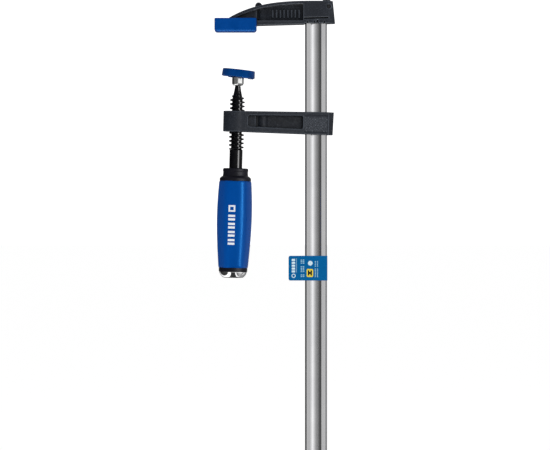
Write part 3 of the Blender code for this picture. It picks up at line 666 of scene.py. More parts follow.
JAW_TOP = -0.85
JAW_HUB_BOTTOM = -17.2
JAW_RIB = 2.3
CROWN_START = 5.7
CROWN_REACH = 65.5
CROWN_DROP = 10.3
CROWN_POWER = 3.25
CROWN_END = -63.5
JAW_TIP = -72.65
FOOT_INNER = -45.0
FOOT_TOP = -14.9
FOOT_BOTTOM = -21.95
FOOT_HALF = 9.0
JAW_POCKET_LEFT = -43.4
JAW_POCKET_FLOOR = -15.35
JAW_COLUMN_X = -39.6
RECESS_LEFT = -60.8
RECESS_RIGHT = JAW_POCKET_LEFT + 0.5
MARK_RIBS = 8
MARK_LEFT = -31.6
MARK_PITCH = 2.75
STAKES = ((-6.3, 1.5, 1.9), (-1.2, 1.7, 2.3), (0.9, 1.9, 2.6), (6.0, 1.6, 2.0))


def crown(x, below=0.0):
    """Height of the fixed jaw's curved top at x."""
    reach = max(0.0, CROWN_START - x) / CROWN_REACH
    return JAW_TOP - CROWN_DROP * reach ** CROWN_POWER - below


def crown_points(x_start, x_end, below=0.0, steps=24):
    xs = [x_start + (x_end - x_start) * i / steps for i in range(steps + 1)]
    return [(x, crown(x, below)) for x in xs]


def both_sides(action, outline, low, high=BEYOND):
    """One (x, z) outline on both faces of a casting, from low to high off the middle."""
    middle = (low + high) / 2
    return [(action, side_mesh([outline], high - low, side * middle)) for side in (-1, 1)]


def back_corners(drop):
    """Wedges cut off both back corners of a hub, behind a step down of the given drop."""
    end = HUB_RIGHT + BEYOND
    near = CASTING_HALF - drop
    cutters = []
    for side in (-1, 1):
        outline = [(HUB_RIGHT, near), (end, near - BEYOND), (end, BEYOND), (HUB_RIGHT, BEYOND)]
        outline = [(x, side * y) for x, y in outline]
        cutters.append(("cut", flat_mesh([outline], 3 * BEYOND)))
    return cutters


def bar_slot(half_x):
    half_y = BAR_HALF_Y + FIT_GAP
    return ("cut", box_mesh((-half_x, -half_y, -BEYOND), (half_x, half_y, BEYOND)))


def jaw_steps():
    """Everything cut from or added to the fixed jaw's plain outline."""
    pocket = crown_points(HUB_LEFT, JAW_POCKET_LEFT, below=JAW_RIB)
    pocket += [(JAW_POCKET_LEFT, JAW_POCKET_FLOOR), (HUB_LEFT, JAW_POCKET_FLOOR)]
    steps = both_sides("cut", pocket, WEB_HALF)
    recess = crown_points(RECESS_RIGHT, RECESS_LEFT, below=JAW_RIB + 0.2)
    recess += [(RECESS_LEFT, FOOT_TOP), (RECESS_RIGHT, FOOT_TOP)]
    steps += both_sides("cut", recess, 5.6)

    column_low = JAW_POCKET_FLOOR - 1.0
    column_high = crown(JAW_COLUMN_X, JAW_RIB) + 1.0
    column_at = (JAW_COLUMN_X, 0, (column_low + column_high) / 2)
    steps.append(("join", rod_mesh(3.5, column_high - column_low, column_at)))
    steps.append(("join", rod_mesh(2.5, 10.0, (-42.0, 0, -4.45), "Y")))

    # Plain upright ribs where such a casting carries raised marks.
    for i in range(MARK_RIBS):
        x = MARK_LEFT + MARK_PITCH * i
        rib = rounded_box(x - 0.62, -13.3, x + 0.62, -7.2, 0.5, 3)
        steps += both_sides("join", rib, WEB_HALF - 0.6, WEB_HALF + 0.9)

    foot_low = (JAW_TIP, -FOOT_HALF, FOOT_BOTTOM)
    foot_high = (FOOT_INNER, FOOT_HALF, FOOT_TOP)
    steps.append(("join", box_mesh(foot_low, foot_high)))
    steps.append(("join", box_mesh((5.0, -6.6, -2.0), (10.4, 6.6, 0.0))))

    # A line scored across the hub, and chisel stakes that lock the bar in from below.
    left = HUB_LEFT + 0.4
    right = HUB_RIGHT - 0.4
    line = [(left, -14.2), (right, -13.7), (right, -12.7), (left, -13.2)]
    steps += both_sides("cut", line, CASTING_HALF - 1.0)
    for x, width, height in STAKES:
        left = x - width / 2
        right = x + width / 2
        stake = [
            (left, JAW_HUB_BOTTOM - 1.0), (right, JAW_HUB_BOTTOM - 1.0),
            (right - 0.4, JAW_HUB_BOTTOM + height), (left + 0.5, JAW_HUB_BOTTOM + height - 0.5),
        ]
        steps += both_sides("cut", stake, CASTING_HALF - 1.6)

    steps += back_corners(drop=0.0)
    steps.append(bar_slot(BAR_HALF_X + FIT_GAP))
    pin_at = JAW_PIN_AT - Vector((0, 0, JAW_DATUM))
    steps.append(("cut", rod_mesh(PIN_HOLE, 40, pin_at, "Y", 32)))
    return steps


def make_fixed_jaw():
    outline = [
        (FOOT_INNER, FOOT_BOTTOM + 2.5), (-43.1, -18.9), (-8.6, -17.9),
        (-7.9, JAW_HUB_BOTTOM), (14.0, JAW_HUB_BOTTOM - 0.35), (12.3, JAW_TOP - 0.2),
    ]
    outline += crown_points(CROWN_START, CROWN_END, steps=40)
    outline.append((CROWN_END, FOOT_TOP - 2.0))
    body = side_mesh([outline], 2 * CASTING_HALF)
    finish_casting(
        "fixed_jaw_casting", body, jaw_steps(), ON_JAW, "cast_grey", CASTING, "fixed_jaw"
    )


ARM_TIP_HALF = 7.55
ARM_HUB_HALF = 8.4
ARM_BACK = 12.9
ARM_BACK_STEP = 2.4
ARM_SLOT_HALF = 8.6
BOSS_RADIUS = 10.0
BOSS_BORE = 5.6
ARM_POCKET_LEFT = -49.7
ARM_COLUMN_X = -38.8
PANEL_DEPTH = 0.5
PANEL_LOW = -6.7
PANEL_HIGH = 5.9
PANEL_LEFT = -8.9
PANEL_RIGHT = 8.9
STUD_PITCH = 2.1
STUD_ROWS = 10
STUD_COLUMNS = 8


def arm_steps():
    """Everything cut from or added to the sliding arm's plain outline."""
    boss_at = (SPINDLE_X, 0, 0)
    corner = 1.6
    left = ARM_POCKET_LEFT + corner
    right = HUB_LEFT - corner
    pocket = (
        arc(right, -4.5 + corner, corner, -90, 0, 6)
        + arc(right, 5.2 - corner, corner, 0, 90, 6)
        + arc(left, 4.6 - corner, corner, 90, 180, 6)
        + arc(left, -3.6 + corner, corner, 180, 270, 6)
    )
    panel = rounded_box(PANEL_LEFT, PANEL_LOW, PANEL_RIGHT, PANEL_HIGH, 0.8, 3)
    return [
        ("join", rod_mesh(BOSS_RADIUS, 2 * ARM_TIP_HALF, boss_at, sides=96)),
        *both_sides("cut", pocket, WEB_HALF),
        ("join", rod_mesh(4.2, 12.0, (ARM_COLUMN_X, 0, 0))),
        ("join", box_mesh((ARM_POCKET_LEFT - 1.5, -5.4, -5.0), (-44.0, 5.4, 5.8))),
        *both_sides("cut", panel, CASTING_HALF - PANEL_DEPTH),
        *back_corners(ARM_BACK_STEP),
        bar_slot(ARM_SLOT_HALF),
        ("cut", rod_mesh(BOSS_BORE, 40, boss_at)),
    ]


def diamond_studs():
    """The hub panels' diamond grain: rows of small four-sided studs on both faces."""
    bm = bmesh.new()
    height = CASTING_HALF - PANEL_DEPTH + 0.05
    for side in (-1, 1):
        outwards = Matrix.Rotation(side * pi / 2, 4, "X") @ Matrix.Rotation(pi, 4, "X")
        for row in range(1, STUD_ROWS + 1):
            for column in range(STUD_COLUMNS):
                x = PANEL_LEFT + STUD_PITCH * (column + 0.5 + row % 2 / 2)
                if x > PANEL_RIGHT - 0.5:
                    continue
                at = Vector((x, side * height, PANEL_LOW + row * STUD_PITCH / 2)) * MM
                add_rod(bm, 0.62, 0.3, 0.55, 4, Matrix.Translation(at) @ outwards)
    return mesh_from(bm)


def make_sliding_arm():
    outline = [
        (SPINDLE_X, -ARM_TIP_HALF), (ARM_BACK - 0.5, -ARM_HUB_HALF),
        (ARM_BACK, ARM_HUB_HALF), (SPINDLE_X, ARM_TIP_HALF),
    ]
    body = side_mesh([outline], 2 * CASTING_HALF)
    finish_casting(
        "sliding_arm_casting", body, arm_steps(), ON_ARM, "cast_grey", CASTING, "sliding_arm"
    )
    finish_piece("sliding_arm_studs", diamond_studs(), ON_ARM, "cast_grey", RUBBED_AND_HIGHLIT_CASTING)


# ---- caps

CAP_WALL = 1.3
PAD_RADIUS = 12.0
PAD_BOTTOM = 0.6
PAD_TOP = 6.0
PAD_LIP = 8.9
PLATE_ROOM_BOTTOM = 2.6 - FIT_GAP
PLATE_ROOM_TOP = 3.8 + FIT_GAP
PLATE_ROOM_RADIUS = 10.4 + FIT_GAP
RIVET_ROOM_TOP = 5.0
RIVET_ROOM_RADIUS = 3.4


def make_fixed_jaw_cap():
    """Soft shoe on the fixed jaw's foot, open on top, with a rolled rim and soft corners."""
    low, high = box_mm("fixed_jaw_cap")
    open_top = high.z + 5
    hollow_low = (JAW_TIP - FIT_GAP, -FOOT_HALF - FIT_GAP, low.z + CAP_WALL)
    hollow_high = (FOOT_INNER + FIT_GAP, FOOT_HALF + FIT_GAP, open_top)
    neck_half = CASTING_HALF + FIT_GAP
    neck_low = (FOOT_INNER - 5, -neck_half, JAW_DATUM + FOOT_BOTTOM + 1.6)
    neck_high = (FOOT_INNER + 5, neck_half, open_top)
    steps = [("cut", box_mesh(hollow_low, hollow_high)), ("cut", box_mesh(neck_low, neck_high))]
    body = soft_block_mesh(low, high, corner=2.4, bottom_edge=1.9, top_edge=0.7)
    finish_casting(
        "fixed_jaw_soft_cap", body, steps, ON_BAR, "blue_cap", CAP_BLUE, "fixed_jaw_cap",
        voxel=0.2, keep=0.35,
    )


def make_pad_cap():
    """Round soft cap: crowned rim, inward lip, and four small tabs under the lip."""
    corners = [
        (0, PAD_TOP, 0), (PAD_RADIUS - 0.2, PAD_TOP, 0.45),
        (PAD_RADIUS + 0.1, PAD_BOTTOM + 1.2, 0.3), (PAD_RADIUS + 0.2, PAD_BOTTOM, 0.15),
        (PAD_LIP, PAD_BOTTOM, 0.3), (PAD_LIP, PLATE_ROOM_BOTTOM, 0.3),
        (PLATE_ROOM_RADIUS, PLATE_ROOM_BOTTOM, 0.2), (PLATE_ROOM_RADIUS, PLATE_ROOM_TOP, 0.3),
        (RIVET_ROOM_RADIUS, PLATE_ROOM_TOP, 0.2), (RIVET_ROOM_RADIUS, RIVET_ROOM_TOP, 0.2),
        (0, RIVET_ROOM_TOP, 0),
    ]

    def uneven(angle, radius, z):
        return radius * (1 + 0.003 * cos(3 * angle + 0.6))

    tabs = []
    for i in range(4):
        tab = box_mesh((9.2, -2.2, 0.1), (11.6, 2.2, 1.0))
        tab.transform(Matrix.Rotation(radians(28 + 90 * i), 4, "Z"))
        tabs.append(("join", tab))
    shell = lathe_mesh(filleted(corners), 128, uneven)
    finish_casting(
        "pad_soft_cap", shell, tabs, ON_PAD, "blue_cap", PAD_BLUE_PAINTED_SHADE, "pad_cap",
        voxel=0.2, soften=1, keep=0.35,
    )


# ---- spindle and ferrule

THREAD_CREST = 5.5
THREAD_ROOT = 3.85
THREAD_PITCH = 3.0
THREAD_TOP = 18.6
THREAD_END = -21.0
CREST_HALF = 0.14  # of a pitch
FLANK = 0.15  # of a pitch
SHANK_RADIUS = 4.8
COLLAR_TOP = -34.3
NECK_RADIUS = 2.0
HEAD_TOP = 28.8
HEAD_BOTTOM = 27.7
HEAD_RADIUS = 2.7
TANG_END = -98.0
TANG_RADIUS = 4.0
SCREW_HOLE = 2.8
FERRULE_BOTTOM = 26.2
FERRULE_TOP = 33.4
FERRULE_RADIUS = 4.3
FERRULE_SEAT = 3.05
BALL_Z = 31.9


def ramp(value, low, high):
    return min(1.0, max(0.0, (value - low) / (high - low)))


def thread_radius(angle, radius, z):
    """Radius of the screw at this angle and height; plain where there is no thread."""
    if z > THREAD_TOP + THREAD_PITCH or z < THREAD_END - 0.5:
        return radius
    turns = (z - THREAD_TOP) / THREAD_PITCH - angle / (2 * pi)
    tooth = 1.0 - ramp(abs(turns - floor(turns) - 0.5), CREST_HALF, CREST_HALF + FLANK)
    crest = THREAD_CREST - 1.7 * ramp(z, 15.4, THREAD_TOP + 0.8)
    fade = ramp(z, THREAD_END - 0.3, THREAD_END + 0.9)
    lift = max(0.0, crest - radius) * tooth * fade
    return radius + lift * (1.0 - ramp(z, THREAD_TOP, THREAD_TOP + 1.2))


def make_spindle():
    """Necked tip, rolled thread and plain shank, down to the tang inside the handle."""
    root_top = 15.0
    collar = COLLAR_TOP + HAIR_GAP
    top = [
        (0, HEAD_TOP, 0), (HEAD_RADIUS, HEAD_TOP, 0.2), (HEAD_RADIUS, HEAD_BOTTOM, 0.2),
        (NECK_RADIUS, HEAD_BOTTOM, 0.1), (NECK_RADIUS, FERRULE_BOTTOM - 0.3, 1.5),
        (2.45, 22.9, 1.5), (3.15, 19.6, 0.8), (THREAD_ROOT, 16.4, 0.6),
        (THREAD_ROOT, root_top, 0),
    ]
    fine = THREAD_PITCH / 24
    threaded = []
    for i in range(1, int((root_top - THREAD_END) / fine)):
        z = root_top - i * fine
        runout = ramp(-z, -THREAD_END - 1.0, -THREAD_END)
        threaded.append((THREAD_ROOT + (SHANK_RADIUS - THREAD_ROOT) * runout, z))
    bottom = [
        (SHANK_RADIUS, THREAD_END, 0), (SHANK_RADIUS, THREAD_END - 0.4, 0),
        (SHANK_RADIUS, COLLAR_TOP + 1.0, 0), (SHANK_RADIUS, collar, 0.02),
        (TANG_RADIUS, collar, 0.1), (TANG_RADIUS, TANG_END, 0.1),
        (SCREW_HOLE, TANG_END, 0.1), (SCREW_HOLE, TANG_END + 13.0, 0.1),
        (0, TANG_END + 13.0, 0),
    ]
    profile = densify(filleted(top), 14.0, 23.0, fine) + threaded + filleted(bottom)
    mesh = lathe_mesh(profile, 96, thread_radius)
    finish_piece(
        "spindle_screw", mesh, ON_HANDLE, "black_steel", SCREW_BLACK, "spindle", sharp=50.0
    )


def soft_polygon(angle, flats, power):
    """Radius factor of a rounded polygon, 1.0 at its corners, with a flat across Y."""
    half = flats // 2
    start = pi / 2 if half % 2 else pi / 2 + pi / flats

    def spread(a):
        return sum(abs(cos(a - start - pi * i / half)) ** power for i in range(half))

    return (spread(angle) / spread(start + pi / flats)) ** (-1 / power)


def make_ferrule():
    """Bright swivel ferrule, crimped to eight soft flats, with a rolled lower edge."""
    bore = NECK_RADIUS + FIT_GAP
    seat_bottom = HEAD_BOTTOM - FIT_GAP
    corners = [
        (FERRULE_SEAT - 0.4, FERRULE_TOP, 0), (FERRULE_RADIUS - 0.2, FERRULE_TOP, 0.4),
        (FERRULE_RADIUS, FERRULE_TOP - 1.0, 0.5), (FERRULE_RADIUS, FERRULE_BOTTOM + 1.3, 0.7),
        (FERRULE_RADIUS - 0.9, FERRULE_BOTTOM, 0.7), (bore, FERRULE_BOTTOM, 0.2),
        (bore, seat_bottom, 0.2), (FERRULE_SEAT, seat_bottom, 0.2),
        (FERRULE_SEAT, BALL_Z, 0.2), (FERRULE_SEAT - 0.35, FERRULE_TOP - 0.1, 0.1),
    ]

    def crimped(angle, radius, z):
        outside = radius >= FERRULE_SEAT + 0.1
        return radius * soft_polygon(angle, 8, 40) if outside else radius

    profile = densify(filleted(corners, 6), FERRULE_BOTTOM, FERRULE_TOP, 0.5)
    mesh = lathe_mesh(profile, 128, crimped, closed=True)
    finish_piece("swivel_socket", mesh, ON_SWIVEL, "zinc", ZINC, "swivel_ferrule", sharp=40.0)


# ---- handle

GRIP_TOP = -43.6
GRIP_BOTTOM = -107.2
GRIP_TOP_RADIUS = 11.75
GRIP_END_RADIUS = 10.8
GRIP_BELLY = 12.75
GRIP_SOFTNESS = 7
CORE_RADIUS = 9.0
CORE_BORE = 4.3
BAND_RADIUS = 11.5
COLLAR_RADIUS = 9.4
RING_RADIUS = 10.5
SCREW_SEAT = -101.4
SCREW_SEAT_RADIUS = 7.0
END_CAP_TOP = -110.0
END_CAP_BOTTOM = -114.5
SPIGOT = 6.7
MARK_LINE = 1.15


def grip_radius(z):
    """Corner radius of the grip's barrel at this height."""
    t = (GRIP_TOP - z) / (GRIP_TOP - GRIP_BOTTOM)
    straight = GRIP_TOP_RADIUS + (GRIP_END_RADIUS - GRIP_TOP_RADIUS) * t
    middle = (GRIP_TOP_RADIUS + GRIP_END_RADIUS) / 2
    return straight + (GRIP_BELLY - middle) * sin(pi * t ** 0.9)


def six_sided(angle, radius, z):
    """Soft hexagon with a flat facing each side of the clamp; the bore stays round."""
    outside = radius >= CORE_RADIUS + 0.4
    return radius * soft_polygon(angle, 6, GRIP_SOFTNESS) if outside else radius


def make_grip():
    """Barrel grip with six soft flats and rolled ends."""
    bore = CORE_RADIUS + FIT_GAP
    length = GRIP_TOP - GRIP_BOTTOM
    steps = 90
    profile = []
    for i in range(steps + 1):
        z = GRIP_TOP - length * i / steps
        to_end = min(i, steps - i) * length / steps
        roll = 0.3 * (1 - ramp(to_end, 0, 1.1)) ** 2
        profile.append((grip_radius(z) - roll, z))
    profile += [(bore, GRIP_BOTTOM), (bore, GRIP_TOP)]
    mesh = lathe_mesh(profile, 192, six_sided, closed=True)
    finish_piece(
        "grip_sleeve", mesh, ON_HANDLE, "blue_grip", GRIP_BLUE, "handle_grip", sharp=50.0
    )


def grip_surface(x, z):
    """A point on the grip's front flat, x across and z up the spindle."""
    radius = grip_radius(z)
    angle = -pi / 2
    for _ in range(12):
        reach = radius * soft_polygon(angle, 6, GRIP_SOFTNESS)
        angle = -pi / 2 + asin(max(-0.9, min(0.9, x / reach)))
    reach = radius * soft_polygon(angle, 6, GRIP_SOFTNESS)
    return (reach * cos(angle), reach * sin(angle), z)


def grip_patch(x0, x1, z0, z1):
    """A thin patch of ink that follows the grip's front flat."""
    xs = [x0 + (x1 - x0) * i / 10 for i in range(11)]
    zs = [z0 + (z1 - z0) * k / 4 for k in range(5)]
    return sheet_mesh([[grip_surface(x, z) for z in zs] for x in xs], 0.1)


def make_grip_mark():
    """Generic white print along the grip: a square frame above four pairs of bars."""
    left = -4.3
    right = 0.6
    low = -66.2
    high = -61.4
    inner = (left + MARK_LINE + HAIR_GAP, right - MARK_LINE - HAIR_GAP)
    patches = [
        grip_patch(left, left + MARK_LINE, low, high),
        grip_patch(right - MARK_LINE, right, low, high),
        grip_patch(*inner, low, low + MARK_LINE),
        grip_patch(*inner, high - MARK_LINE, high),
    ]
    for i in range(4):
        for drop in (0.0, 2.6):
            top = -68.4 - 5.9 * i - drop
            patches.append(grip_patch(left, right, top - 1.6, top))
    finish_piece("grip_mark", join_meshes(patches), ON_HANDLE, "blue_grip", INK_GRIP)


def make_handle_core():
    """Black moulding: lipped collar, waist, flared band, and the ring behind the grip."""
    tang_end = TANG_END - 0.4
    grip_top = GRIP_TOP + HAIR_GAP
    grip_bottom = GRIP_BOTTOM - HAIR_GAP
    cap_top = END_CAP_TOP + HAIR_GAP
    corners = [
        (CORE_BORE, COLLAR_TOP, 0), (COLLAR_RADIUS - 0.2, COLLAR_TOP, 1.0),
        (COLLAR_RADIUS - 0.1, COLLAR_TOP - 2.2, 0.3), (COLLAR_RADIUS - 0.35, COLLAR_TOP - 2.6, 0.2),
        (COLLAR_RADIUS - 0.2, COLLAR_TOP - 5.6, 0.5),
        (BAND_RADIUS - 0.9, COLLAR_TOP - 6.5, 0.7), (BAND_RADIUS, COLLAR_TOP - 7.4, 0.5),
        (BAND_RADIUS, grip_top, 0.15), (CORE_RADIUS, grip_top, 0.1),
        (CORE_RADIUS, grip_bottom, 0.1), (RING_RADIUS, grip_bottom, 0.2),
        (RING_RADIUS - 0.1, cap_top, 0.2), (SCREW_SEAT_RADIUS, cap_top, 0.1),
        (SCREW_SEAT_RADIUS, SCREW_SEAT, 0.1), (SCREW_HOLE, SCREW_SEAT, 0.1),
        (SCREW_HOLE, tang_end, 0.1), (CORE_BORE, tang_end, 0.1),
    ]
    mesh = lathe_mesh(filleted(corners), 128, closed=True)
    finish_piece("handle_body", mesh, ON_HANDLE, "black_plastic", MOULDED_BLACK, "handle_core")


def make_end_cap():
    """Polished dome with a small rim, a shallow dished centre and a spigot in the core."""
    corners = [
        (SPIGOT - 1.0, END_CAP_TOP + 3.0, 0), (SPIGOT, END_CAP_TOP + 3.0, 0.2),
        (SPIGOT, END_CAP_TOP, 0.1), (10.0, END_CAP_TOP, 0.3),
        (10.1, END_CAP_TOP - 0.45, 0.25), (9.3, END_CAP_TOP - 2.4, 1.5),
        (7.5, END_CAP_BOTTOM + 0.15, 1.6), (4.6, END_CAP_BOTTOM, 0.6),
        (3.9, END_CAP_BOTTOM + 0.5, 0.5), (0, END_CAP_BOTTOM + 0.45, 0),
        (0, END_CAP_BOTTOM + 1.5, 0), (SPIGOT - 1.0, END_CAP_BOTTOM + 2.0, 0.3),
    ]
    mesh = lathe_mesh(filleted(corners, 8), 128, closed=True)
    finish_piece("end_dome", mesh, ON_HANDLE, "chrome", CHROME, "handle_end_cap")


# ---- tag

TAG_LOW, TAG_HIGH = box_mm("bar_tag")
TAG_SHEET = 0.3
TAG_CORNER = 1.1
TAG_BEND = 1.1
TAG_ROWS = 14
INK_DEPTH = 0.05
PRINT_RING_AT = (-16.4, 140.2)
PRINT_DISC_AT = (-4.2, 149.4)
SECTION_SIGN = (
    (-6.0, 140.4), (-5.1, 140.4), (-4.8, 141.6), (-4.2, 141.6), (-3.9, 140.4), (-3.0, 140.4),
    (-3.0, 144.1), (-3.9, 144.1), (-4.2, 142.9), (-4.8, 142.9), (-5.1, 144.1), (-6.0, 144.1),
)


def tag_path():
    """The tag's centre line seen from above: flag, front, round the bar, back to the flag."""
    half = TAG_SHEET / 2
    front = TAG_LOW.y + half
    back = TAG_HIGH.y - half
    meet = front + TAG_SHEET * 1.05
    left = -BAR_HALF_X
    right = BAR_HALF_X + half + 0.03 - TAG_BEND
    fold = TAG_LOW.x + 8.4
    path = [(TAG_LOW.x + (right - TAG_LOW.x) * i / 40, front) for i in range(40)]
    path += arc(right, front + TAG_BEND, TAG_BEND, -90, 0, 10)
    path += arc(right, back - TAG_BEND, TAG_BEND, 0, 90, 10)
    path += [(right + (left - right) * i / 16, back) for i in range(1, 17)]
    path += [(left - 0.9, back - 1.6), (fold + 1.5, meet + 1.0)]
    path += [(fold + (TAG_LOW.x - fold) * i / 10, meet) for i in range(11)]
    return path


def make_tag():
    """Folded printed tag with rounded corners on its flag and a slight ripple."""
    columns = []
    for x, y in tag_path():
        cut = 0.0
        short = TAG_CORNER - (x - TAG_LOW.x)
        if short > 0:
            cut = TAG_CORNER - sqrt(max(0.0, TAG_CORNER ** 2 - short ** 2))
        height = TAG_HIGH.z - TAG_LOW.z - 2 * cut
        column = []
        for k in range(TAG_ROWS + 1):
            z = TAG_LOW.z + cut + height * k / TAG_ROWS
            ripple = 0.06 * sin(0.26 * z + 0.09 * x) if x < -BAR_HALF_X else 0.0
            column.append((x, y + ripple, z))
        columns.append(column)
    mesh = sheet_mesh(columns, TAG_SHEET * 0.9)
    finish_piece("tag_sheet", mesh, ON_BAR, "tag_blue", FILM_BLUE, "bar_tag")


def print_mesh(outlines, layer=1):
    """Flat ink on the tag's front face; higher layers stand further out."""
    return side_mesh(outlines, INK_DEPTH, TAG_LOW.y - INK_DEPTH * (layer - 0.4))


def ink_block(x0, x1, z0, z1, radius):
    return print_mesh([rounded_box(x0, z0, x1, z1, radius, 4)])


def dashes(x0, x1, z0, z1, length, gap, radius=0.15):
    """A column of ink dashes from z0 up to z1."""
    count = int((z1 - z0 + gap) / (length + gap))
    starts = [z0 + i * (length + gap) for i in range(count)]
    return [ink_block(x0, x1, z, z + length, radius) for z in starts]


def ring_outline(at, radius):
    return arc(*at, radius, 0, 348, 29)


def make_tag_print():
    """Generic print: dashes for text, a ring, a disc, and a sign of the bar's section."""
    whites = dashes(-17.8, -15.3, 142.6, 153.0, 1.55, 0.55, 0.3)
    ring = [ring_outline(PRINT_RING_AT, radius) for radius in (1.5, 0.95)]
    whites += [print_mesh(ring), print_mesh([ring_outline(PRINT_DISC_AT, 1.75)])]
    pales = dashes(-14.6, -14.1, 142.6, 152.9, 0.7, 0.25)
    for z0, z1 in ((139.3, 142.2), (143.0, 148.2), (149.0, 152.6)):
        for x0 in (-11.2, -9.7):
            pales += dashes(x0, x0 + 1.1, z0, z1, 0.75, 0.4)
    for z0, z1 in ((139.2, 145.6), (146.9, 152.0)):
        for x0 in (-0.9, 0.7):
            pales += dashes(x0, x0 + 0.75, z0, z1, 0.8, 0.3)
    prints = (
        ("tag_white_print", join_meshes(whites), INK_WHITE),
        ("tag_pale_print", join_meshes(pales), INK_PALE),
        ("tag_yellow_print", ink_block(-6.9, -2.1, 139.3, 145.2, 0.9), INK_YELLOW),
        ("tag_black_print", print_mesh([SECTION_SIGN], layer=2), INK_BLACK),
    )
    for name, mesh, ink in prints:
        finish_piece(name, mesh, ON_BAR, "tag_blue", ink)


# ---- nodes kept from the CAD

def dress_kept_nodes():
    """Pins, screw, washer, stud and plate keep their CAD shape and get finished materials."""
    finishes = {
        "fixed_jaw_pin": SPRING_STEEL, "bar_stop_pin": SPRING_STEEL,
        "handle_screw": SPRING_STEEL, "handle_washer": ZINC,
        "pad_ball_stud": ZINC, "pad_plate": DRAWN_STEEL,
    }
    for name, material in finishes.items():
        materials = frame["nodes"][name].data.materials
        materials.clear()
        materials.append(material)


# ---- stage, light and camera, in metres

FRAME_WIDTH = 0.4026  # what the picture's width covers at the bar
FRAME_CENTRE = Vector((-0.03, 0, 0.1773))
CAMERA_DISTANCE = 3.0
SENSOR_WIDTH = 36.0
FLOOR_Z = -0.125  # below the handle when the arm is at the bar's foot
BOUNCE_Z = 0.003

HORIZON_LEVELS = (
    (0.0, 0.09), (0.1, 0.14), (0.2, 0.25), (0.33, 0.35), (0.5, 0.51), (0.6, 0.64), (0.735, 0.9),
    (0.85, 1.28), (0.94, 1.45), (1.0, 1.5),
)
BELOW_LEVELS = (
    (0.0, 0.04), (0.18, 0.05), (0.21, 1.6), (0.35, 1.6), (0.37, 0.04), (0.63, 0.04), (0.65, 1.2),
    (0.70, 1.2), (0.72, 0.12), (1.0, 0.1),
)
FILL_LEVELS = ((0.0, 1.05), (0.5, 1.0), (0.65, 0.95), (0.9, 0.3), (1.0, 0.25))
FAR_SIDE_LEVEL = 0.3
FILL_STRENGTH = 0.42
SEEN_STRENGTH = 1.25


def make_floor():
    bm = bmesh.new()
    bmesh.ops.create_circle(bm, cap_ends=True, segments=96, radius=60.0)
    mesh = mesh_from(bm)
    s = Shader("studio_white", (0.9, 0.9, 0.9), 0.8, specular=0.0)
    s.principled["Emission Color"].default_value = (1.0, 1.0, 1.0, 1.0)
    s.principled["Emission Strength"].default_value = 0.66
    mesh.materials.append(s.material)
    floor_piece = link("studio_floor", mesh)
    floor_piece.location.z = FLOOR_Z
    floor_piece.visible_glossy = False


def studio_reflections(nodes, across, x, y, z):
    """What shiny surfaces see: bright right, dark left, dark far sides, striped floor cards."""
    sideways = nodes.remap(nodes.maths("ABSOLUTE", x), 0.4, 0.6)
    far_side = nodes.maths("MULTIPLY", nodes.remap(y, -0.1, 0.1), sideways)
    shade = nodes.remap(far_side, 0.0, 1.0, 1.0, FAR_SIDE_LEVEL)
    feeds = {0: nodes.grey_ramp(across, HORIZON_LEVELS), "Scale": shade}
    shaded = nodes.add("ShaderNodeVectorMath", feeds, operation="SCALE").outputs[0]
    below = nodes.remap(z, -0.13, -0.22)
    return nodes.blend(below, shaded, nodes.grey_ramp(across, BELOW_LEVELS))


def make_world():
    """White to the eye, a fill that fades to the right on matt surfaces, a studio on shiny."""
    world = bpy.data.worlds.new("studio")
    bpy.context.scene.world = world
    world.use_nodes = True
    world.node_tree.nodes.clear()
    nodes = Nodes(world.node_tree)
    x, y, z = nodes.split(nodes.add("ShaderNodeTexCoord").outputs["Generated"])
    across = nodes.remap(x, -1.0, 1.0)
    fill = nodes.grey_ramp(across, FILL_LEVELS)
    shiny = studio_reflections(nodes, across, x, y, z)
    backgrounds = []
    for strength, colour in ((FILL_STRENGTH, fill), (1.0, shiny), (SEEN_STRENGTH, (1, 1, 1, 1))):
        feeds = {"Color": colour, "Strength": strength}
        backgrounds.append(nodes.add("ShaderNodeBackground", feeds).outputs[0])
    rays = nodes.add("ShaderNodeLightPath").outputs
    light = backgrounds[0]
    for ray, background in zip(("Is Glossy Ray", "Is Camera Ray"), backgrounds[1:]):
        feeds = {"Fac": rays[ray], 1: light, 2: background}
        light = nodes.add("ShaderNodeMixShader", feeds).outputs[0]
    nodes.add("ShaderNodeOutputWorld", {"Surface": light})


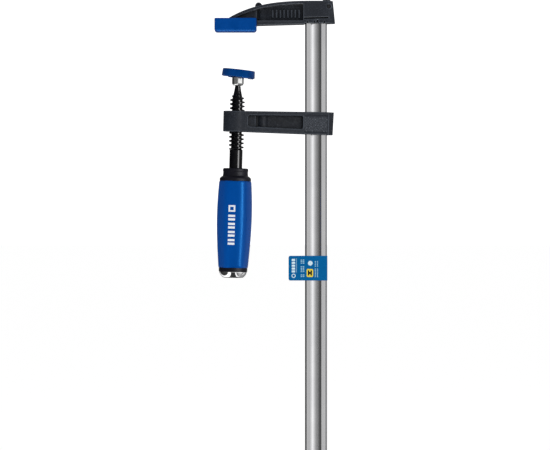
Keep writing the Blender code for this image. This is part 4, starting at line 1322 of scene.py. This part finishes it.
def add_softbox(name, place, size, power):
    """An area light aimed at the picture's centre, from a place measured from there."""
    light = bpy.data.lights.new(name, "AREA")
    light.shape = "RECTANGLE"
    light.size, light.size_y = size
    light.energy = power
    lamp = link(name, light)
    lamp.location = FRAME_CENTRE + Vector(place)
    lamp.rotation_euler = Vector(place).to_track_quat("Z", "Y").to_euler()
    return lamp


def shine_on(lamp, *names):
    """Let a lamp show only as a reflection in the named pieces."""
    lamp.visible_diffuse = False
    lamp.visible_camera = False
    pieces = bpy.data.collections.new(lamp.name)
    for name in names:
        pieces.objects.link(bpy.data.objects[name])
    lamp.light_linking.receiver_collection = pieces


def make_lights():
    """A broad key for shading, and softboxes that only show as reflections."""
    key = add_softbox("key_softbox", (0.15, -1.25, 1.3), (0.45, 0.45), 9.0)
    key.visible_glossy = False
    strip = add_softbox("right_strip", (0.85, -0.86, 0.1), (0.5, 0.9), 30.0)
    shine_on(strip, "spindle_screw", "grip_sleeve", "handle_body")
    arm_strip = add_softbox("arm_strip", (0.45, -1.15, 0.1), (0.3, 0.9), 6.0)
    shine_on(arm_strip, "sliding_arm_casting")
    bounce = add_softbox("bounce_card", (-0.03, -0.15, -0.17), (0.3, 0.3), 3.2)
    bounce.location.z = BOUNCE_Z
    bounce.rotation_euler = (pi, 0, 0)
    shine_on(bounce, "fixed_jaw_soft_cap", "pad_soft_cap", "fixed_jaw_casting")


def make_camera():
    camera = bpy.data.cameras.new("camera")
    camera.sensor_width = SENSOR_WIDTH
    camera.lens = SENSOR_WIDTH * CAMERA_DISTANCE / FRAME_WIDTH
    camera.clip_start = 0.01
    camera.clip_end = 200.0
    holder = link("camera", camera)
    holder.location = FRAME_CENTRE + Vector((0, -CAMERA_DISTANCE, 0))
    holder.rotation_euler = (pi / 2, 0, 0)
    bpy.context.scene.camera = holder


def make_stage():
    view = bpy.context.scene.view_settings
    view.view_transform = "Standard"
    view.look = "None"
    make_floor()
    make_world()
    make_lights()
    make_camera()


# ---- the clamp

make_bar()
make_fixed_jaw()
make_sliding_arm()
make_fixed_jaw_cap()
make_pad_cap()
make_spindle()
make_ferrule()
make_handle_core()
make_grip()
make_grip_mark()
make_end_cap()
make_tag()
make_tag_print()
dress_kept_nodes()
make_stage()
